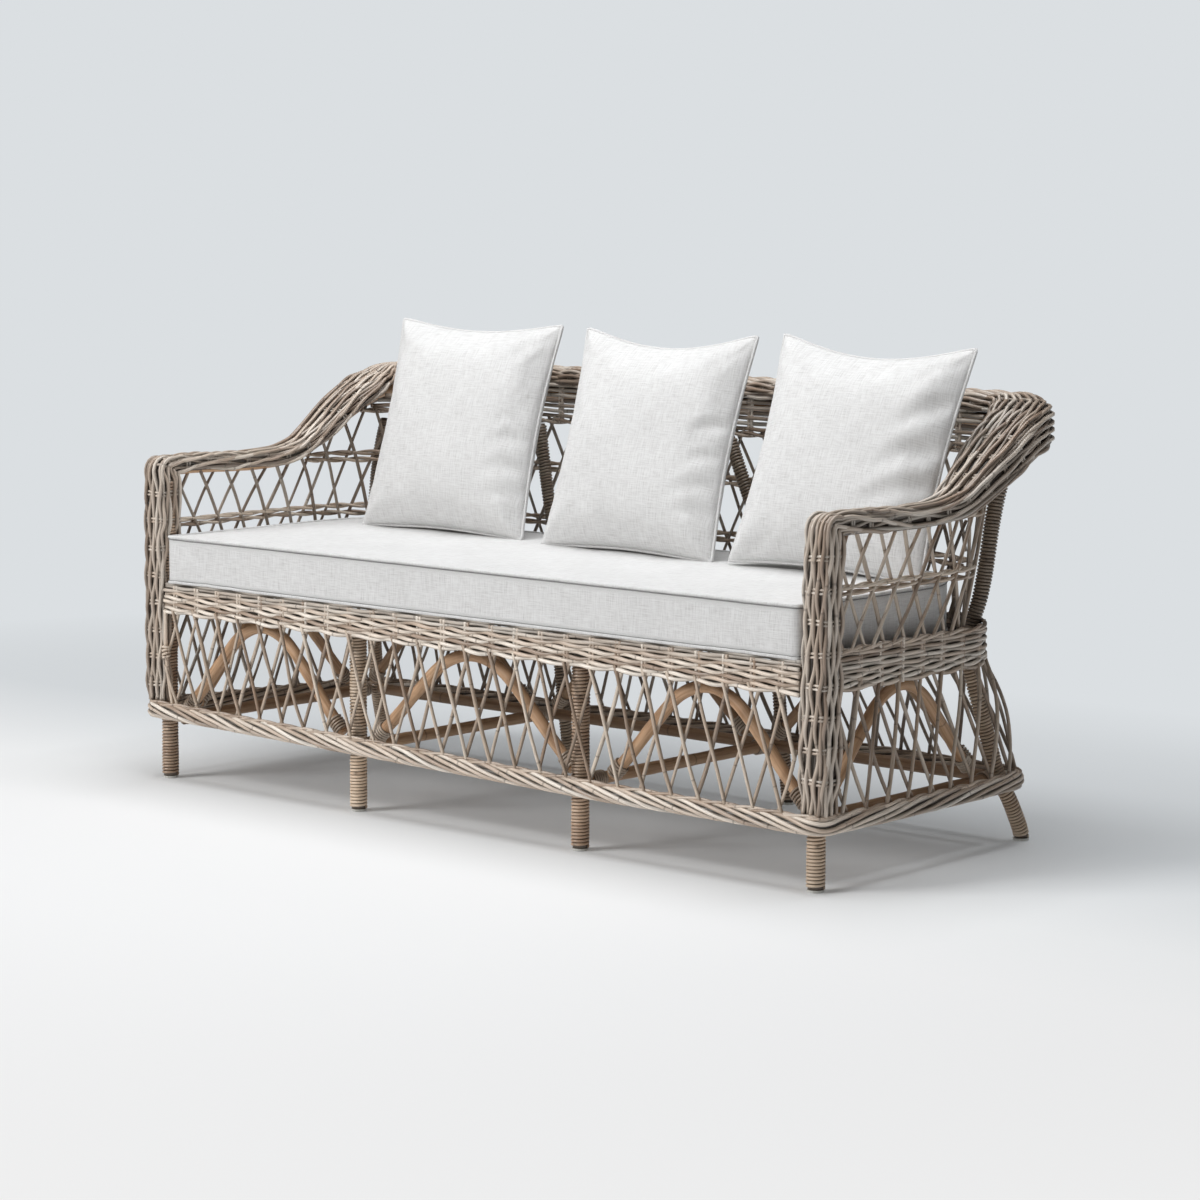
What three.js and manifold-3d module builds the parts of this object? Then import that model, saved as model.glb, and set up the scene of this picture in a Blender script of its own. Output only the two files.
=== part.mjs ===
// Three-seat woven rattan sofa with an open lattice back, sides and skirt,
// eight wrapped pole legs, a loose seat cushion and three loose back pillows.
// Units are millimetres, +Z is up, -Y is the front of the sofa.
import * as THREE from 'three';
import { mergeVertices } from 'three/addons/utils/BufferGeometryUtils.js';
import Module from 'manifold-3d';

const wasm = await Module();
wasm.setup();

// ---------------------------------------------------------------- dimensions
// Working frame: X = 0 in the middle, Y = 0 near the front legs, Z = 0 on the
// ground. The whole group is shifted by Y_CENTRE at the end, so that the origin
// is at the middle of the footprint box.
const Y_CENTRE = 373.4;          // middle between the front braid and the rear of the top roll
const GLIDE_H = 5;             // nylon glide under each leg
const GAP = 0.4;               // clearance between touching pieces
const LEG_R = 19;              // wrapped front leg radius
const REAR_R = 17;             // wrapped rear leg radius
const CORNER_X = 897;          // corner leg centre
const MID_X = 310;             // middle leg centre
const FRONT_LEG_Y = 10;        // front leg centre line
const BRAID_Z0 = 105;          // bottom braid, underside
const BRAID_Z1 = 152;          // bottom braid, top
const APRON_Z0 = 372;          // woven seat band, underside
const APRON_Z1 = 455;          // woven seat band, top
const SIDE_X = 905;            // woven side surface
const REAR_Y = 660;            // woven rear surface at seat height
const CORNER_R = 175;          // plan radius of the rear corners at seat height
const SEAT_RAIL_Z = 408;       // centre height of the seat frame poles
const DECK_Z0 = 427;           // woven seat deck
const DECK_Z1 = 439;
const COL_X0 = 880, COL_X1 = 940, COL_Y0 = -24, COL_Y1 = 26;  // corner column plan
const BRAID_LIFT = 24;         // the front braid rises by this much towards the left corner
const COL_TOP = 669;
const BAND_Z0 = 783, BAND_Z1 = 862;      // woven band of the back
const ROLL_Z = 868;                      // centre height of the rolled top
const ROLL_W = 134, ROLL_H = 70;
const POLE_R = 12.5;                     // peeled pole inside arm rims and top roll
const CUSHION_X = 877, CUSHION_Y0 = -31, CUSHION_Y1 = 610;
const CUSHION_Z0 = 439.6, CUSHION_Z1 = 541;
const LATTICE_PITCH = 100;               // spacing of the lattice rods of this solid model
const ROD_W = 8, ROD_T = 10;              // section of a lattice rod
const PILLOW = 485, PILLOW_T = 150;      // back pillow edge length and thickness

// ---------------------------------------------------------------- materials
const mat = (color, roughness, metalness = 0) =>
  new THREE.MeshStandardMaterial({ color, roughness, metalness });
const M = {
  weave: mat(0x9b8a78, 0.8),
  lattice: mat(0x8f7e6b, 0.8),
  wrapped: mat(0x7c6a57, 0.75),
  pole: mat(0xa07653, 0.6),
  nylon: mat(0xd9d9d2, 0.5),
  linen: mat(0xdcdad5, 0.95),
};

// ---------------------------------------------------------------- helpers
const V = (x, y, z) => new THREE.Vector3(x, y, z);
const group = new THREE.Group();

function closed(positions, index) {
  const g = new THREE.BufferGeometry();
  g.setAttribute('position', new THREE.Float32BufferAttribute(positions, 3));
  let vol = 0;
  const p = positions;
  for (let i = 0; i < index.length; i += 3) {
    const [a, b, c] = [index[i] * 3, index[i + 1] * 3, index[i + 2] * 3];
    vol += p[a] * (p[b + 1] * p[c + 2] - p[b + 2] * p[c + 1])
         - p[a + 1] * (p[b] * p[c + 2] - p[b + 2] * p[c])
         + p[a + 2] * (p[b] * p[c + 1] - p[b + 1] * p[c]);
  }
  if (vol < 0) for (let i = 0; i < index.length; i += 3) [index[i], index[i + 1]] = [index[i + 1], index[i]];
  g.setIndex(index);
  return g;
}

// skin between rings of equal point count; open path gets end caps
function loft(rings, loop = false) {
  const n = rings[0].length, pos = [], idx = [];
  for (const r of rings) for (const q of r) pos.push(q.x, q.y, q.z);
  const m = rings.length, last = loop ? m : m - 1;
  for (let i = 0; i < last; i++) {
    const a = i * n, b = ((i + 1) % m) * n;
    for (let k = 0; k < n; k++) {
      const k2 = (k + 1) % n;
      idx.push(a + k, a + k2, b + k2, a + k, b + k2, b + k);
    }
  }
  if (!loop) {
    for (const [ri, flip] of [[0, true], [m - 1, false]]) {
      const r = rings[ri];
      const c = r.reduce((s, q) => s.add(q), V(0, 0, 0)).divideScalar(n);
      const nrm = V(0, 0, 0);
      for (let k = 0; k < n; k++) {
        const a = r[k].clone().sub(c), b = r[(k + 1) % n].clone().sub(c);
        nrm.add(a.cross(b));
      }
      nrm.normalize();
      const u = r[1].clone().sub(r[0]);
      u.addScaledVector(nrm, -u.dot(nrm)).normalize();
      const w = nrm.clone().cross(u);
      const flat = r.map(q => new THREE.Vector2(q.clone().sub(c).dot(u), q.clone().sub(c).dot(w)));
      for (const f of THREE.ShapeUtils.triangulateShape(flat, [])) {
        const t = f.map(k => ri * n + k);
        if (flip) idx.push(t[0], t[2], t[1]); else idx.push(t[0], t[1], t[2]);
      }
    }
  }
  return closed(pos, idx);
}

// sweep a 2-D section [[u, v], ...] along points; u runs sideways, v runs along `up`
function sweep(points, section, up = V(0, 0, 1), loop = false) {
  const rings = points.map((p, i) => {
    const a = points[loop ? (i - 1 + points.length) % points.length : Math.max(i - 1, 0)];
    const b = points[loop ? (i + 1) % points.length : Math.min(i + 1, points.length - 1)];
    const t = b.clone().sub(a).normalize();
    const r = t.clone().cross(up).normalize();
    const w = r.clone().cross(t).normalize();
    const s = typeof section === 'function' ? section(i / (points.length - 1)) : section;
    return s.map(([x, y]) => p.clone().addScaledVector(r, x).addScaledVector(w, y));
  });
  return loft(rings, loop);
}
const circle = (r, n) => Array.from({ length: n }, (_, i) => {
  const a = (i + 0.5) / n * 2 * Math.PI;
  return [r * Math.cos(a), r * Math.sin(a)];
});
const rect = (w, h) => [[-w / 2, -h / 2], [w / 2, -h / 2], [w / 2, h / 2], [-w / 2, h / 2]];
const smooth = (pts, n) => new THREE.CatmullRomCurve3(pts, false, 'centripetal').getSpacedPoints(n);
const pole = (pts, r, sides = 10, up = V(0, 1, 0)) => sweep(pts, circle(r, sides), up);

function solid(geometry) {
  const g = geometry.clone();
  g.deleteAttribute('normal');
  g.deleteAttribute('uv');
  const w = mergeVertices(g, 1e-3), idx = w.index.array, keep = [];
  for (let i = 0; i < idx.length; i += 3) {
    if (idx[i] !== idx[i + 1] && idx[i + 1] !== idx[i + 2] && idx[i] !== idx[i + 2]) keep.push(idx[i], idx[i + 1], idx[i + 2]);
  }
  return new wasm.Manifold(new wasm.Mesh({
    numProp: 3,
    vertProperties: new Float32Array(w.attributes.position.array),
    triVerts: new Uint32Array(keep),
  }));
}
function fromSolid(s) {
  const m = s.getMesh();
  const pos = [];
  for (let i = 0; i < m.numVert; i++) {
    pos.push(m.vertProperties[i * m.numProp], m.vertProperties[i * m.numProp + 1], m.vertProperties[i * m.numProp + 2]);
  }
  return closed(pos, Array.from(m.triVerts));
}
function add(name, geometry, material) {
  geometry.computeVertexNormals();
  const mesh = new THREE.Mesh(geometry, material);
  mesh.name = name;
  group.add(mesh);
}
const mirrorX = pts => pts.map(p => V(-p.x, p.y, p.z));
const SIDES = [['left', -1], ['right', 1]];
const unit = t => Math.min(1, Math.max(0, t));
const lift = (x, y) => BRAID_LIFT * unit((400 - x) / 1300) * unit(1 - y / 690);

// ---------------------------------------------------------------- legs and glides
const cornerRearPath = [
  V(900, 690, 14), V(891, 666, 76), V(874, 637, 142), V(865, 624, 198), V(855, 609, 263),
  V(843, 596, 326), V(834, 588.5, 378), V(831, 585.5, 415), V(833.5, 588.5, 450), V(845, 603, 500),
  V(850, 613, 560), V(853, 622, 620), V(857, 635, 680), V(861, 650, 728), V(864, 664, 762),
];
const midRearPath = s => [
  V(s * MID_X, 682, 14), V(s * MID_X, 663, 130), V(s * MID_X, 648, 240), V(s * MID_X, 633, 370),
  V(s * MID_X, 629, 430), V(s > 0 ? 300 : -312, 630, 500), V(s > 0 ? 272 : -324, 631, 580),
  V(s > 0 ? 237 : -340, 634, 650), V(s > 0 ? 200 : -355, 636, 730), V(s > 0 ? 176 : -366, 640, 779),
];
// the foot end is cut level
const footed = pts => [V(pts[0].x, pts[0].y, GLIDE_H + GAP), ...pts];
for (const [side, s] of SIDES) {
  add(`front_leg_${side}`, pole([V(s * CORNER_X, FRONT_LEG_Y, GLIDE_H + GAP), V(s * CORNER_X, FRONT_LEG_Y, 664)], LEG_R, 12), M.wrapped);
  add(`front_leg_mid_${side}`, pole([V(s * MID_X, FRONT_LEG_Y, GLIDE_H + GAP), V(s * MID_X, FRONT_LEG_Y, SEAT_RAIL_Z - 15 - GAP)], LEG_R, 12), M.wrapped);
  add(`rear_leg_${side}`, pole(footed(smooth(cornerRearPath.map(p => V(s * p.x, p.y, p.z)), 15)), REAR_R, 10), M.wrapped);
  add(`rear_leg_mid_${side}`, pole(footed(smooth(midRearPath(s), 13)), REAR_R - 2, 10), M.wrapped);
}
const glide = (name, x, y) => {
  const pts = [new THREE.Vector2(0, 0), new THREE.Vector2(15, 0), new THREE.Vector2(16.5, 1.5),
    new THREE.Vector2(16.5, GLIDE_H), new THREE.Vector2(0, GLIDE_H)];
  const raw = new THREE.LatheGeometry(pts, 16);
  raw.deleteAttribute('normal');
  raw.deleteAttribute('uv');
  raw.rotateX(Math.PI / 2);
  raw.translate(x, y, 0);
  const g = mergeVertices(raw, 1e-4);
  const idx = Array.from(g.index.array), keep = [];
  for (let i = 0; i < idx.length; i += 3) {
    if (idx[i] !== idx[i + 1] && idx[i + 1] !== idx[i + 2] && idx[i] !== idx[i + 2]) keep.push(idx[i], idx[i + 1], idx[i + 2]);
  }
  add(name, closed(Array.from(g.attributes.position.array), keep), M.nylon);
};
for (const [side, s] of SIDES) {
  glide(`glide_front_${side}`, s * CORNER_X, FRONT_LEG_Y);
  glide(`glide_front_mid_${side}`, s * MID_X, FRONT_LEG_Y);
  glide(`glide_rear_${side}`, s * 900, 690);
  glide(`glide_rear_mid_${side}`, s * MID_X, 682);
}

// ---------------------------------------------------------------- seat frame
const x0 = CORNER_X - LEG_R - 1;
add('seat_rail_front', pole([V(-x0, FRONT_LEG_Y, SEAT_RAIL_Z), V(x0, FRONT_LEG_Y, SEAT_RAIL_Z)], 15, 10), M.pole);
add('seat_rail_rear', pole([V(-812, 598, SEAT_RAIL_Z), V(812, 598, SEAT_RAIL_Z)], 13, 10), M.pole);
for (const [side, s] of SIDES) {
  add(`seat_rail_${side}`, pole([V(s * 880, FRONT_LEG_Y + LEG_R + 1, SEAT_RAIL_Z), V(s * 842, 565, SEAT_RAIL_Z)], 12, 10, V(0, 0, 1)), M.pole);
  add(`seat_cross_pole_${side}`, pole([V(s * 250, 26, SEAT_RAIL_Z), V(s * 250, 584, SEAT_RAIL_Z)], 12, 10, V(0, 0, 1)), M.pole);
}
{
  // woven deck: rounded rear corners, slotted between the weavers
  const sh = new THREE.Shape();
  const X = 860, Y0 = 30, Y1 = 560, R = 120;
  sh.moveTo(-X, Y0); sh.lineTo(X, Y0); sh.lineTo(X, Y1 - R);
  sh.absarc(X - R, Y1 - R, R, 0, Math.PI / 2, false);
  sh.lineTo(-X + R, Y1); sh.absarc(-X + R, Y1 - R, R, Math.PI / 2, Math.PI, false);
  const g = new THREE.ExtrudeGeometry(sh, { depth: DECK_Z1 - DECK_Z0, bevelEnabled: false, curveSegments: 6 });
  g.translate(0, 0, DECK_Z0);
  let s = solid(g);
  for (let i = 0; i < 12; i++) {
    const slot = new THREE.BoxGeometry(47, 350, 40);
    slot.translate(-753.5 + i * 137, 245, DECK_Z0);
    s = s.subtract(solid(slot));
  }
  add('seat_deck', fromSolid(s), M.weave);
}

// ---------------------------------------------------------------- lower rails
const RAIL_Z = 134;
add('base_rail_rear', pole([V(-853, 628, RAIL_Z), V(853, 628, RAIL_Z)], 13, 10), M.pole);
for (const [side, s] of SIDES) {
  add(`base_rail_${side}`, pole([V(s * 880, FRONT_LEG_Y + LEG_R + 1, RAIL_Z), V(s * 876, 612, RAIL_Z)], 13, 10, V(0, 0, 1)), M.pole);
  add(`cross_stretcher_${side}`, pole([V(s * MID_X, FRONT_LEG_Y + LEG_R + 1, RAIL_Z + 3), V(s * MID_X, 614, RAIL_Z + 3)], 13, 10, V(0, 0, 1)), M.pole);
}

// ---------------------------------------------------------------- bent arches
const arch = (a, b, y, zb, zt) => {
  const m = (a + b) / 2, h = (b - a) / 2;
  const pts = [[-1, 0], [-0.82, 0.22], [-0.55, 0.58], [-0.27, 0.90], [0, 1], [0.27, 0.90], [0.55, 0.58], [0.82, 0.22], [1, 0]]
    .map(([u, v]) => V(m + u * h, typeof y === 'function' ? y(v) : y, zb + v * (zt - zb)));
  return smooth(pts, 14);
};
add('arch_front_left', pole(arch(-858, -376, 31, 156, 358), 13, 8), M.pole);
add('arch_front_centre', pole(arch(-276, 276, 31, 156, 358), 13, 8), M.pole);
add('arch_front_right', pole(arch(376, 858, 31, 156, 358), 13, 8), M.pole);
const rearY = v => 590 - 14 * v;
add('arch_rear_left', pole(arch(-840, -350, rearY, 162, 358), 12, 8), M.pole);
add('arch_rear_centre', pole(arch(-270, 270, rearY, 162, 358), 12, 8), M.pole);
add('arch_rear_right', pole(arch(350, 840, rearY, 162, 358), 12, 8), M.pole);
for (const [side, s] of SIDES) {
  const pts = arch(72, 540, 0, 162, 358).map(p => V(s * 872, p.x, p.z));
  add(`arch_side_${side}`, sweep(pts, circle(12, 8), V(1, 0, 0)), M.pole);
}

// ---------------------------------------------------------------- bottom braid
{
  // rounded ring outside the eight legs, thinner where it passes the splayed rear legs
  const ring = [], half = [];
  const X = 933.5, XR = 925, Y0 = -24, Y1 = 683, rf = 30, rr = 64, W = 14.2, WR = 5.6;
  const put = (x, y, w) => { ring.push(V(x, y, (BRAID_Z0 + BRAID_Z1) / 2 + lift(x, y))); half.push(w); };
  const arc = (cx, cy, r, a0, a1, n, w) => {
    for (let i = 0; i <= n; i++) {
      const a = a0 + (a1 - a0) * i / n;
      put(cx + r * Math.cos(a), cy + r * Math.sin(a), w);
    }
  };
  const q = Math.PI / 2;
  put(300, Y0, W);
  arc(X - rf, Y0 + rf, rf, -q, 0, 4, W);
  put(X, 330, W); put((X + XR) / 2, 500, W);
  arc(XR - rr, Y1 - rr, rr, 0, q, 5, WR);
  put(700, Y1 + 6, W); put(MID_X, Y1 + 12, W); put(-MID_X, Y1 + 12, W); put(-700, Y1 + 6, W);
  arc(-XR + rr, Y1 - rr, rr, q, 2 * q, 5, WR);
  put(-(X + XR) / 2, 500, W); put(-X, 330, W);
  arc(-X + rf, Y0 + rf, rf, 2 * q, 3 * q, 4, W);
  put(-300, Y0, W);
  const h = (BRAID_Z1 - BRAID_Z0) / 2, last = ring.length - 1;
  const sec = t => {
    const w = half[Math.round(t * last)], c = Math.min(6, w - 3);
    return [[-w, -h + 9], [-w + c, -h], [w - c, -h], [w, -h + 9], [w, h - 9], [w - c, h], [-w + c, h], [-w, h - 9]];
  };
  add('base_braid', sweep(ring, sec, V(0, 0, 1), true), M.weave);
}

// ---------------------------------------------------------------- corner columns (open to the rear and inwards, around the leg)
for (const [side, s] of SIDES) {
  const c = LEG_R / Math.cos(Math.PI / 8) + 0.6, cx = CORNER_X, r = 12, cy = FRONT_LEG_Y;
  const pts = [[COL_X0 + r, COL_Y0], [COL_X1 - r, COL_Y0], [COL_X1 - r * 0.3, COL_Y0 + r * 0.3], [COL_X1, COL_Y0 + r], [COL_X1, COL_Y1],
    [cx + c, COL_Y1], [cx + c, cy], [cx + c * 0.707, cy - c * 0.707], [cx, cy - c], [cx - c * 0.707, cy - c * 0.707],
    [COL_X0, cy - c * 0.707 - 2], [COL_X0, COL_Y0 + r], [COL_X0 + r * 0.3, COL_Y0 + r * 0.3]];
  const z0 = BRAID_Z1 + GAP + lift(s * (COL_X1 + 8), 0);
  const base = pts.map(([x, y]) => V(s * x, y, z0)), top = pts.map(([x, y]) => V(s * x, y, COL_TOP));
  add(`corner_column_${side}`, loft([base, top]), M.weave);
}

// ---------------------------------------------------------------- arm rims, top roll and the pole inside them
const END_X = 800;
const armPath = [
  V(910, -24, 693), V(910, 60, 694), V(910, 140, 693), V(910, 220, 690), V(910, 300, 690), V(910, 360, 694), V(910, 412, 706),
  V(908, 462, 732), V(906, 512, 766), V(903, 560, 796), V(900, 606, 822), V(895, 652, 844), V(880, 690, 857), V(850, 714, 865), V(812, 718, 868),
];
const armCurve = [...smooth(armPath, 19), V(END_X, 718, 868)];
const widen = t => { const k = unit((t - 0.32) / 0.55); return k * k * (3 - 2 * k); };
const armSection = t => {
  const k = unit((t - 0.42) / 0.45), e = k * k * (3 - 2 * k);
  return rimSection(60 + (ROLL_W - 60) * widen(t), 44 + (ROLL_H - 44) * e);
};
// u runs from the inner to the outer side; the inner side stays shallow over the band of the back
function rimSection(w, h) {
  const c = -h / 2 + POLE_R - 2, g = POLE_R + 0.8, b = Math.min(16, h * 0.3);
  const hin = 44 - 4 * (h - 44) / 26, yi = h / 2 - hin;
  return [[-w / 2, yi + 4], [-w / 2 + 5, yi], [-g, yi], [-g, Math.max(c + 5, yi + 0.5)], [-6, Math.max(c + g, yi + 0.8)], [6, c + g], [g, c + 5], [g, -h / 2],
    [w / 2 - 5, -h / 2], [w / 2, -h / 2 + 4], [w / 2, h / 2 - b], [w / 2 - b * 0.4, h / 2 - b * 0.35], [w / 2 - b * 1.2, h / 2],
    [-w / 2 + b * 1.2, h / 2], [-w / 2 + b * 0.4, h / 2 - b * 0.35], [-w / 2, h / 2 - b]];
}
for (const [side, s] of SIDES) {
  const flip = t => armSection(t).map(([u, v]) => [-u, v]).reverse();
  add(`arm_rim_${side}`, sweep(s > 0 ? armCurve : mirrorX(armCurve), s > 0 ? armSection : flip), M.weave);
}
add('back_top_roll', sweep([V(END_X - GAP, 718, ROLL_Z), V(-END_X + GAP, 718, ROLL_Z)], rimSection(ROLL_W, ROLL_H)), M.weave);
{
  // the peeled pole runs in the channel under the arm rims and the roll
  const n = armCurve.length;
  const under = armCurve.map((p, i) => {
    const t = i / (n - 1);
    const k = Math.min(1, Math.max(0, (t - 0.42) / 0.45)), e = k * k * (3 - 2 * k);
    const h = 44 + (ROLL_H - 44) * e;
    const a = armCurve[Math.max(i - 1, 0)], b = armCurve[Math.min(i + 1, n - 1)];
    const tan = b.clone().sub(a).normalize();
    const w = tan.clone().cross(V(0, 0, 1)).normalize().cross(tan).normalize();
    return p.clone().addScaledVector(w, -h / 2 + POLE_R - 2);
  });
  under[0].y = -8;
  const path = [...under, ...mirrorX(under).reverse()];
  add('top_rail_pole', sweep(path, circle(POLE_R, 8)), M.pole);
}

// ---------------------------------------------------------------- woven band of the back
{
  const sec = [V(0, 655, BAND_Z0), V(0, 669, BAND_Z0), V(0, 671, BAND_Z1), V(0, 657, BAND_Z1)];
  const at = x => sec.map(p => V(x, p.y, p.z));
  add('back_band', loft([at(-806), at(806)]), M.weave);
}

// ---------------------------------------------------------------- seat-height woven band
const APRON_T = 14;
add('seat_band_front', (() => {
  const p = [[-COL_X0 + 1, -26], [COL_X0 - 1, -26], [COL_X0 - 1, -12], [-COL_X0 + 1, -12]];
  return loft([p.map(([x, y]) => V(x, y, APRON_Z0)), p.map(([x, y]) => V(x, y, APRON_Z1 - 16))]);
})(), M.weave);
const seatPlan = (z, a0, a1, n, off = 0) => Array.from({ length: n + 1 }, (_, i) => {
  const a = (a0 + (a1 - a0) * i / n) * Math.PI / 180;
  return V(SIDE_X - CORNER_R + (CORNER_R + off) * Math.cos(a), REAR_Y - CORNER_R + (CORNER_R + off) * Math.sin(a), z);
});
const zc = (APRON_Z0 + APRON_Z1) / 2, sec = rect(APRON_T, APRON_Z1 - APRON_Z0);
for (const [side, s] of SIDES) {
  const pts = [V(SIDE_X, FRONT_LEG_Y + LEG_R + 1.5, zc), ...seatPlan(zc, 0, 44.6, 4)];
  add(`seat_band_${side}`, sweep(s > 0 ? pts : mirrorX(pts), sec), M.weave);
}
{
  const half = seatPlan(zc, 45.4, 90, 4);
  add('seat_band_rear', sweep([...half, ...mirrorX(half).reverse()], sec), M.weave);
}

// ---------------------------------------------------------------- lattice panels
// rods run between a lower and an upper curve, in two crossing layers
function resample(pts, step) {
  const c = new THREE.CurvePath();
  for (let i = 0; i + 1 < pts.length; i++) c.add(new THREE.LineCurve3(pts[i], pts[i + 1]));
  const n = Math.max(2, Math.round(c.getLength() / step));
  return Array.from({ length: n + 1 }, (_, i) => c.getPoint(i / n));
}
// flat strips along the edges of a planar graph, joined into one closed body;
// `place` maps a point of the flat layout and an offset to its place in space
function grille(nodes, edges, width, thick, place) {
  const at = new Map(nodes.map((_, i) => [i, []]));
  edges.forEach(([a, b]) => { at.get(a).push(b); at.get(b).push(a); });
  const pos = [], idx = [], corner = new Map();
  const put = (p, o) => { const q = place(p[0], p[1], o); pos.push(q.x, q.y, q.z); return pos.length / 3 - 1; };
  const dir = (i, j) => Math.atan2(nodes[j][1] - nodes[i][1], nodes[j][0] - nodes[i][0]);
  for (const [i, next] of at) {
    if (!next.length) continue;
    next.sort((p, q) => dir(i, p) - dir(i, q));
    const ring = [];
    next.forEach((j, k) => {
      const m = next[(k + 1) % next.length];
      let phi = dir(i, m) - dir(i, j);
      while (phi <= 1e-9) phi += 2 * Math.PI;
      const d = width / 2 / Math.sin(phi / 2), a = dir(i, j) + phi / 2;
      const p = [nodes[i][0] + d * Math.cos(a), nodes[i][1] + d * Math.sin(a)];
      const c = [put(p, thick / 2), put(p, -thick / 2)];
      corner.set(`${i}_${j}_l`, c);        // left of the edge i -> j
      corner.set(`${i}_${m}_r`, c);        // right of the edge i -> m
      ring.push(c);
    });
    for (let k = 1; k + 1 < ring.length; k++) {
      idx.push(ring[0][0], ring[k][0], ring[k + 1][0], ring[0][1], ring[k + 1][1], ring[k][1]);
    }
  }
  for (const [a, b] of edges) {
    const al = corner.get(`${a}_${b}_l`), ar = corner.get(`${a}_${b}_r`);
    const bl = corner.get(`${b}_${a}_r`), br = corner.get(`${b}_${a}_l`);
    idx.push(ar[0], br[0], bl[0], ar[0], bl[0], al[0]);
    idx.push(ar[1], bl[1], br[1], ar[1], al[1], bl[1]);
    idx.push(al[0], bl[0], bl[1], al[0], bl[1], al[1]);
    idx.push(br[0], ar[0], ar[1], br[0], ar[1], br[1]);
  }
  return closed(pos, idx);
}
// crossing rods between a lower and an upper curve, with a bar along both and
// along each row named in `bars`, and a stake at both ends
function lattice(lower, upper, rows, bars = []) {
  const n = lower.length - 1, L = [], nodes = [], id = new Map();
  for (const c of [lower, upper]) for (let i = 0; i < n; i++) L.push(c[i].distanceTo(c[i + 1]));
  const pitch = L.reduce((x, y) => x + y, 0) / L.length;
  const H = lower.reduce((x, p, i) => x + p.distanceTo(upper[i]), 0) / (n + 1);
  for (let r = 0; r <= rows; r++) for (let k = r % 2; k <= 2 * n; k += 2) {
    id.set(`${r}_${k}`, nodes.length);
    nodes.push([k / 2 * pitch, r / rows * H]);
  }
  const edges = [], link = (a, b) => { if (id.has(a) && id.has(b)) edges.push([id.get(a), id.get(b)]); };
  for (let r = 0; r < rows; r++) for (let k = r % 2; k <= 2 * n; k += 2) {
    link(`${r}_${k}`, `${r + 1}_${k + 1}`);
    link(`${r}_${k}`, `${r + 1}_${k - 1}`);
  }
  for (const r of [0, ...bars, rows]) for (let k = r % 2; k < 2 * n; k += 2) link(`${r}_${k}`, `${r}_${k + 2}`);
  for (let r = 0; r + 2 <= rows; r += 2) for (const k of [0, 2 * n]) link(`${r}_${k}`, `${r + 2}_${k}`);
  const pick = (c, u) => {
    const i = Math.min(Math.max(Math.floor(u), 0), n - 1);
    return c[i].clone().lerp(c[i + 1], u - i);
  };
  return grille(nodes, edges, ROD_W, ROD_T, (x, y, o) => {
    const u = x / pitch, a = pick(lower, u), b = pick(upper, u);
    const t = pick(lower, u + 0.01).sub(pick(lower, u - 0.01));
    return a.clone().lerp(b, y / H).addScaledVector(t.cross(b.clone().sub(a)).normalize(), o);
  });
}
const zb = BRAID_Z1 + 6.5, zt = APRON_Z0 - 6.5;
{
  const X = COL_X0 - 6;
  const lower = resample([V(-X, -22, zb + lift(-X, 0)), V(400, -22, zb), V(X, -22, zb)], LATTICE_PITCH);
  const upper = resample([V(-X, -20, zt), V(X, -20, zt)], LATTICE_PITCH);
  add('lattice_skirt_front', lattice(lower, upper, 2), M.lattice);
}
const same = (a, b, step) => {
  // two curves with the same number of points
  const A = resample(a, step), c = new THREE.CurvePath();
  for (let i = 0; i + 1 < b.length; i++) c.add(new THREE.LineCurve3(b[i], b[i + 1]));
  return [A, A.map((_, i) => c.getPoint(i / (A.length - 1)))];
};
for (const [side, s] of SIDES) {
  const low = [V(930, 38, zb), V(930, 330, zb), V(922, 612, zb), V(916, 640, zb), V(903, 662, zb)];
  const up = [V(SIDE_X, 38, zt), ...seatPlan(zt, 0, 42, 3)];
  const [L, U] = same(low, up, LATTICE_PITCH);
  for (const p of L) p.z += lift(s * p.x, p.y);
  add(`lattice_skirt_${side}`, lattice(s > 0 ? L : mirrorX(L), s > 0 ? U : mirrorX(U), 2), M.lattice);
  const bz = APRON_Z1 + 6;
  const low2 = [V(SIDE_X, 36, bz), V(SIDE_X, 400, bz), V(894, 470, bz), V(862, 530, bz), V(808, 574, bz)];
  const up2 = [V(SIDE_X, 36, 662), V(SIDE_X, 150, 661), V(SIDE_X, 300, 656), V(904, 380, 661), V(902, 440, 680), V(900, 500, 708), V(892, 556, 740), V(852, 604, 757), V(812, 622, 762)];
  const [L2, U2] = same(low2, up2, LATTICE_PITCH);
  add(`lattice_side_${side}`, lattice(s > 0 ? L2 : mirrorX(L2), s > 0 ? U2 : mirrorX(U2), 4, [2]), M.lattice);
}
{
  const half = seatPlan(zt, 48, 90, 3), low = [V(888, 676, zb), V(700, 688, zb), V(-700, 688, zb), V(-888, 676, zb)];
  const [L, U] = same(low, [...half, ...mirrorX(half).reverse()], LATTICE_PITCH);
  add('lattice_skirt_rear', lattice(L, U, 2), M.lattice);
  const bz = APRON_Z1 + 6;
  const low2 = [V(-784, 590, bz), V(-740, 624, bz), V(-690, 650, bz), V(-640, 657, bz), V(640, 657, bz), V(690, 650, bz), V(740, 624, bz), V(784, 590, bz)];
  const up2 = [V(-790, 655, 777), V(-640, 662, 777), V(640, 662, 777), V(790, 655, 777)];
  const [L2, U2] = same(low2, up2, LATTICE_PITCH * 1.25);
  add('lattice_back', lattice(L2, U2, 6, [2, 4]), M.lattice);
}

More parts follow.
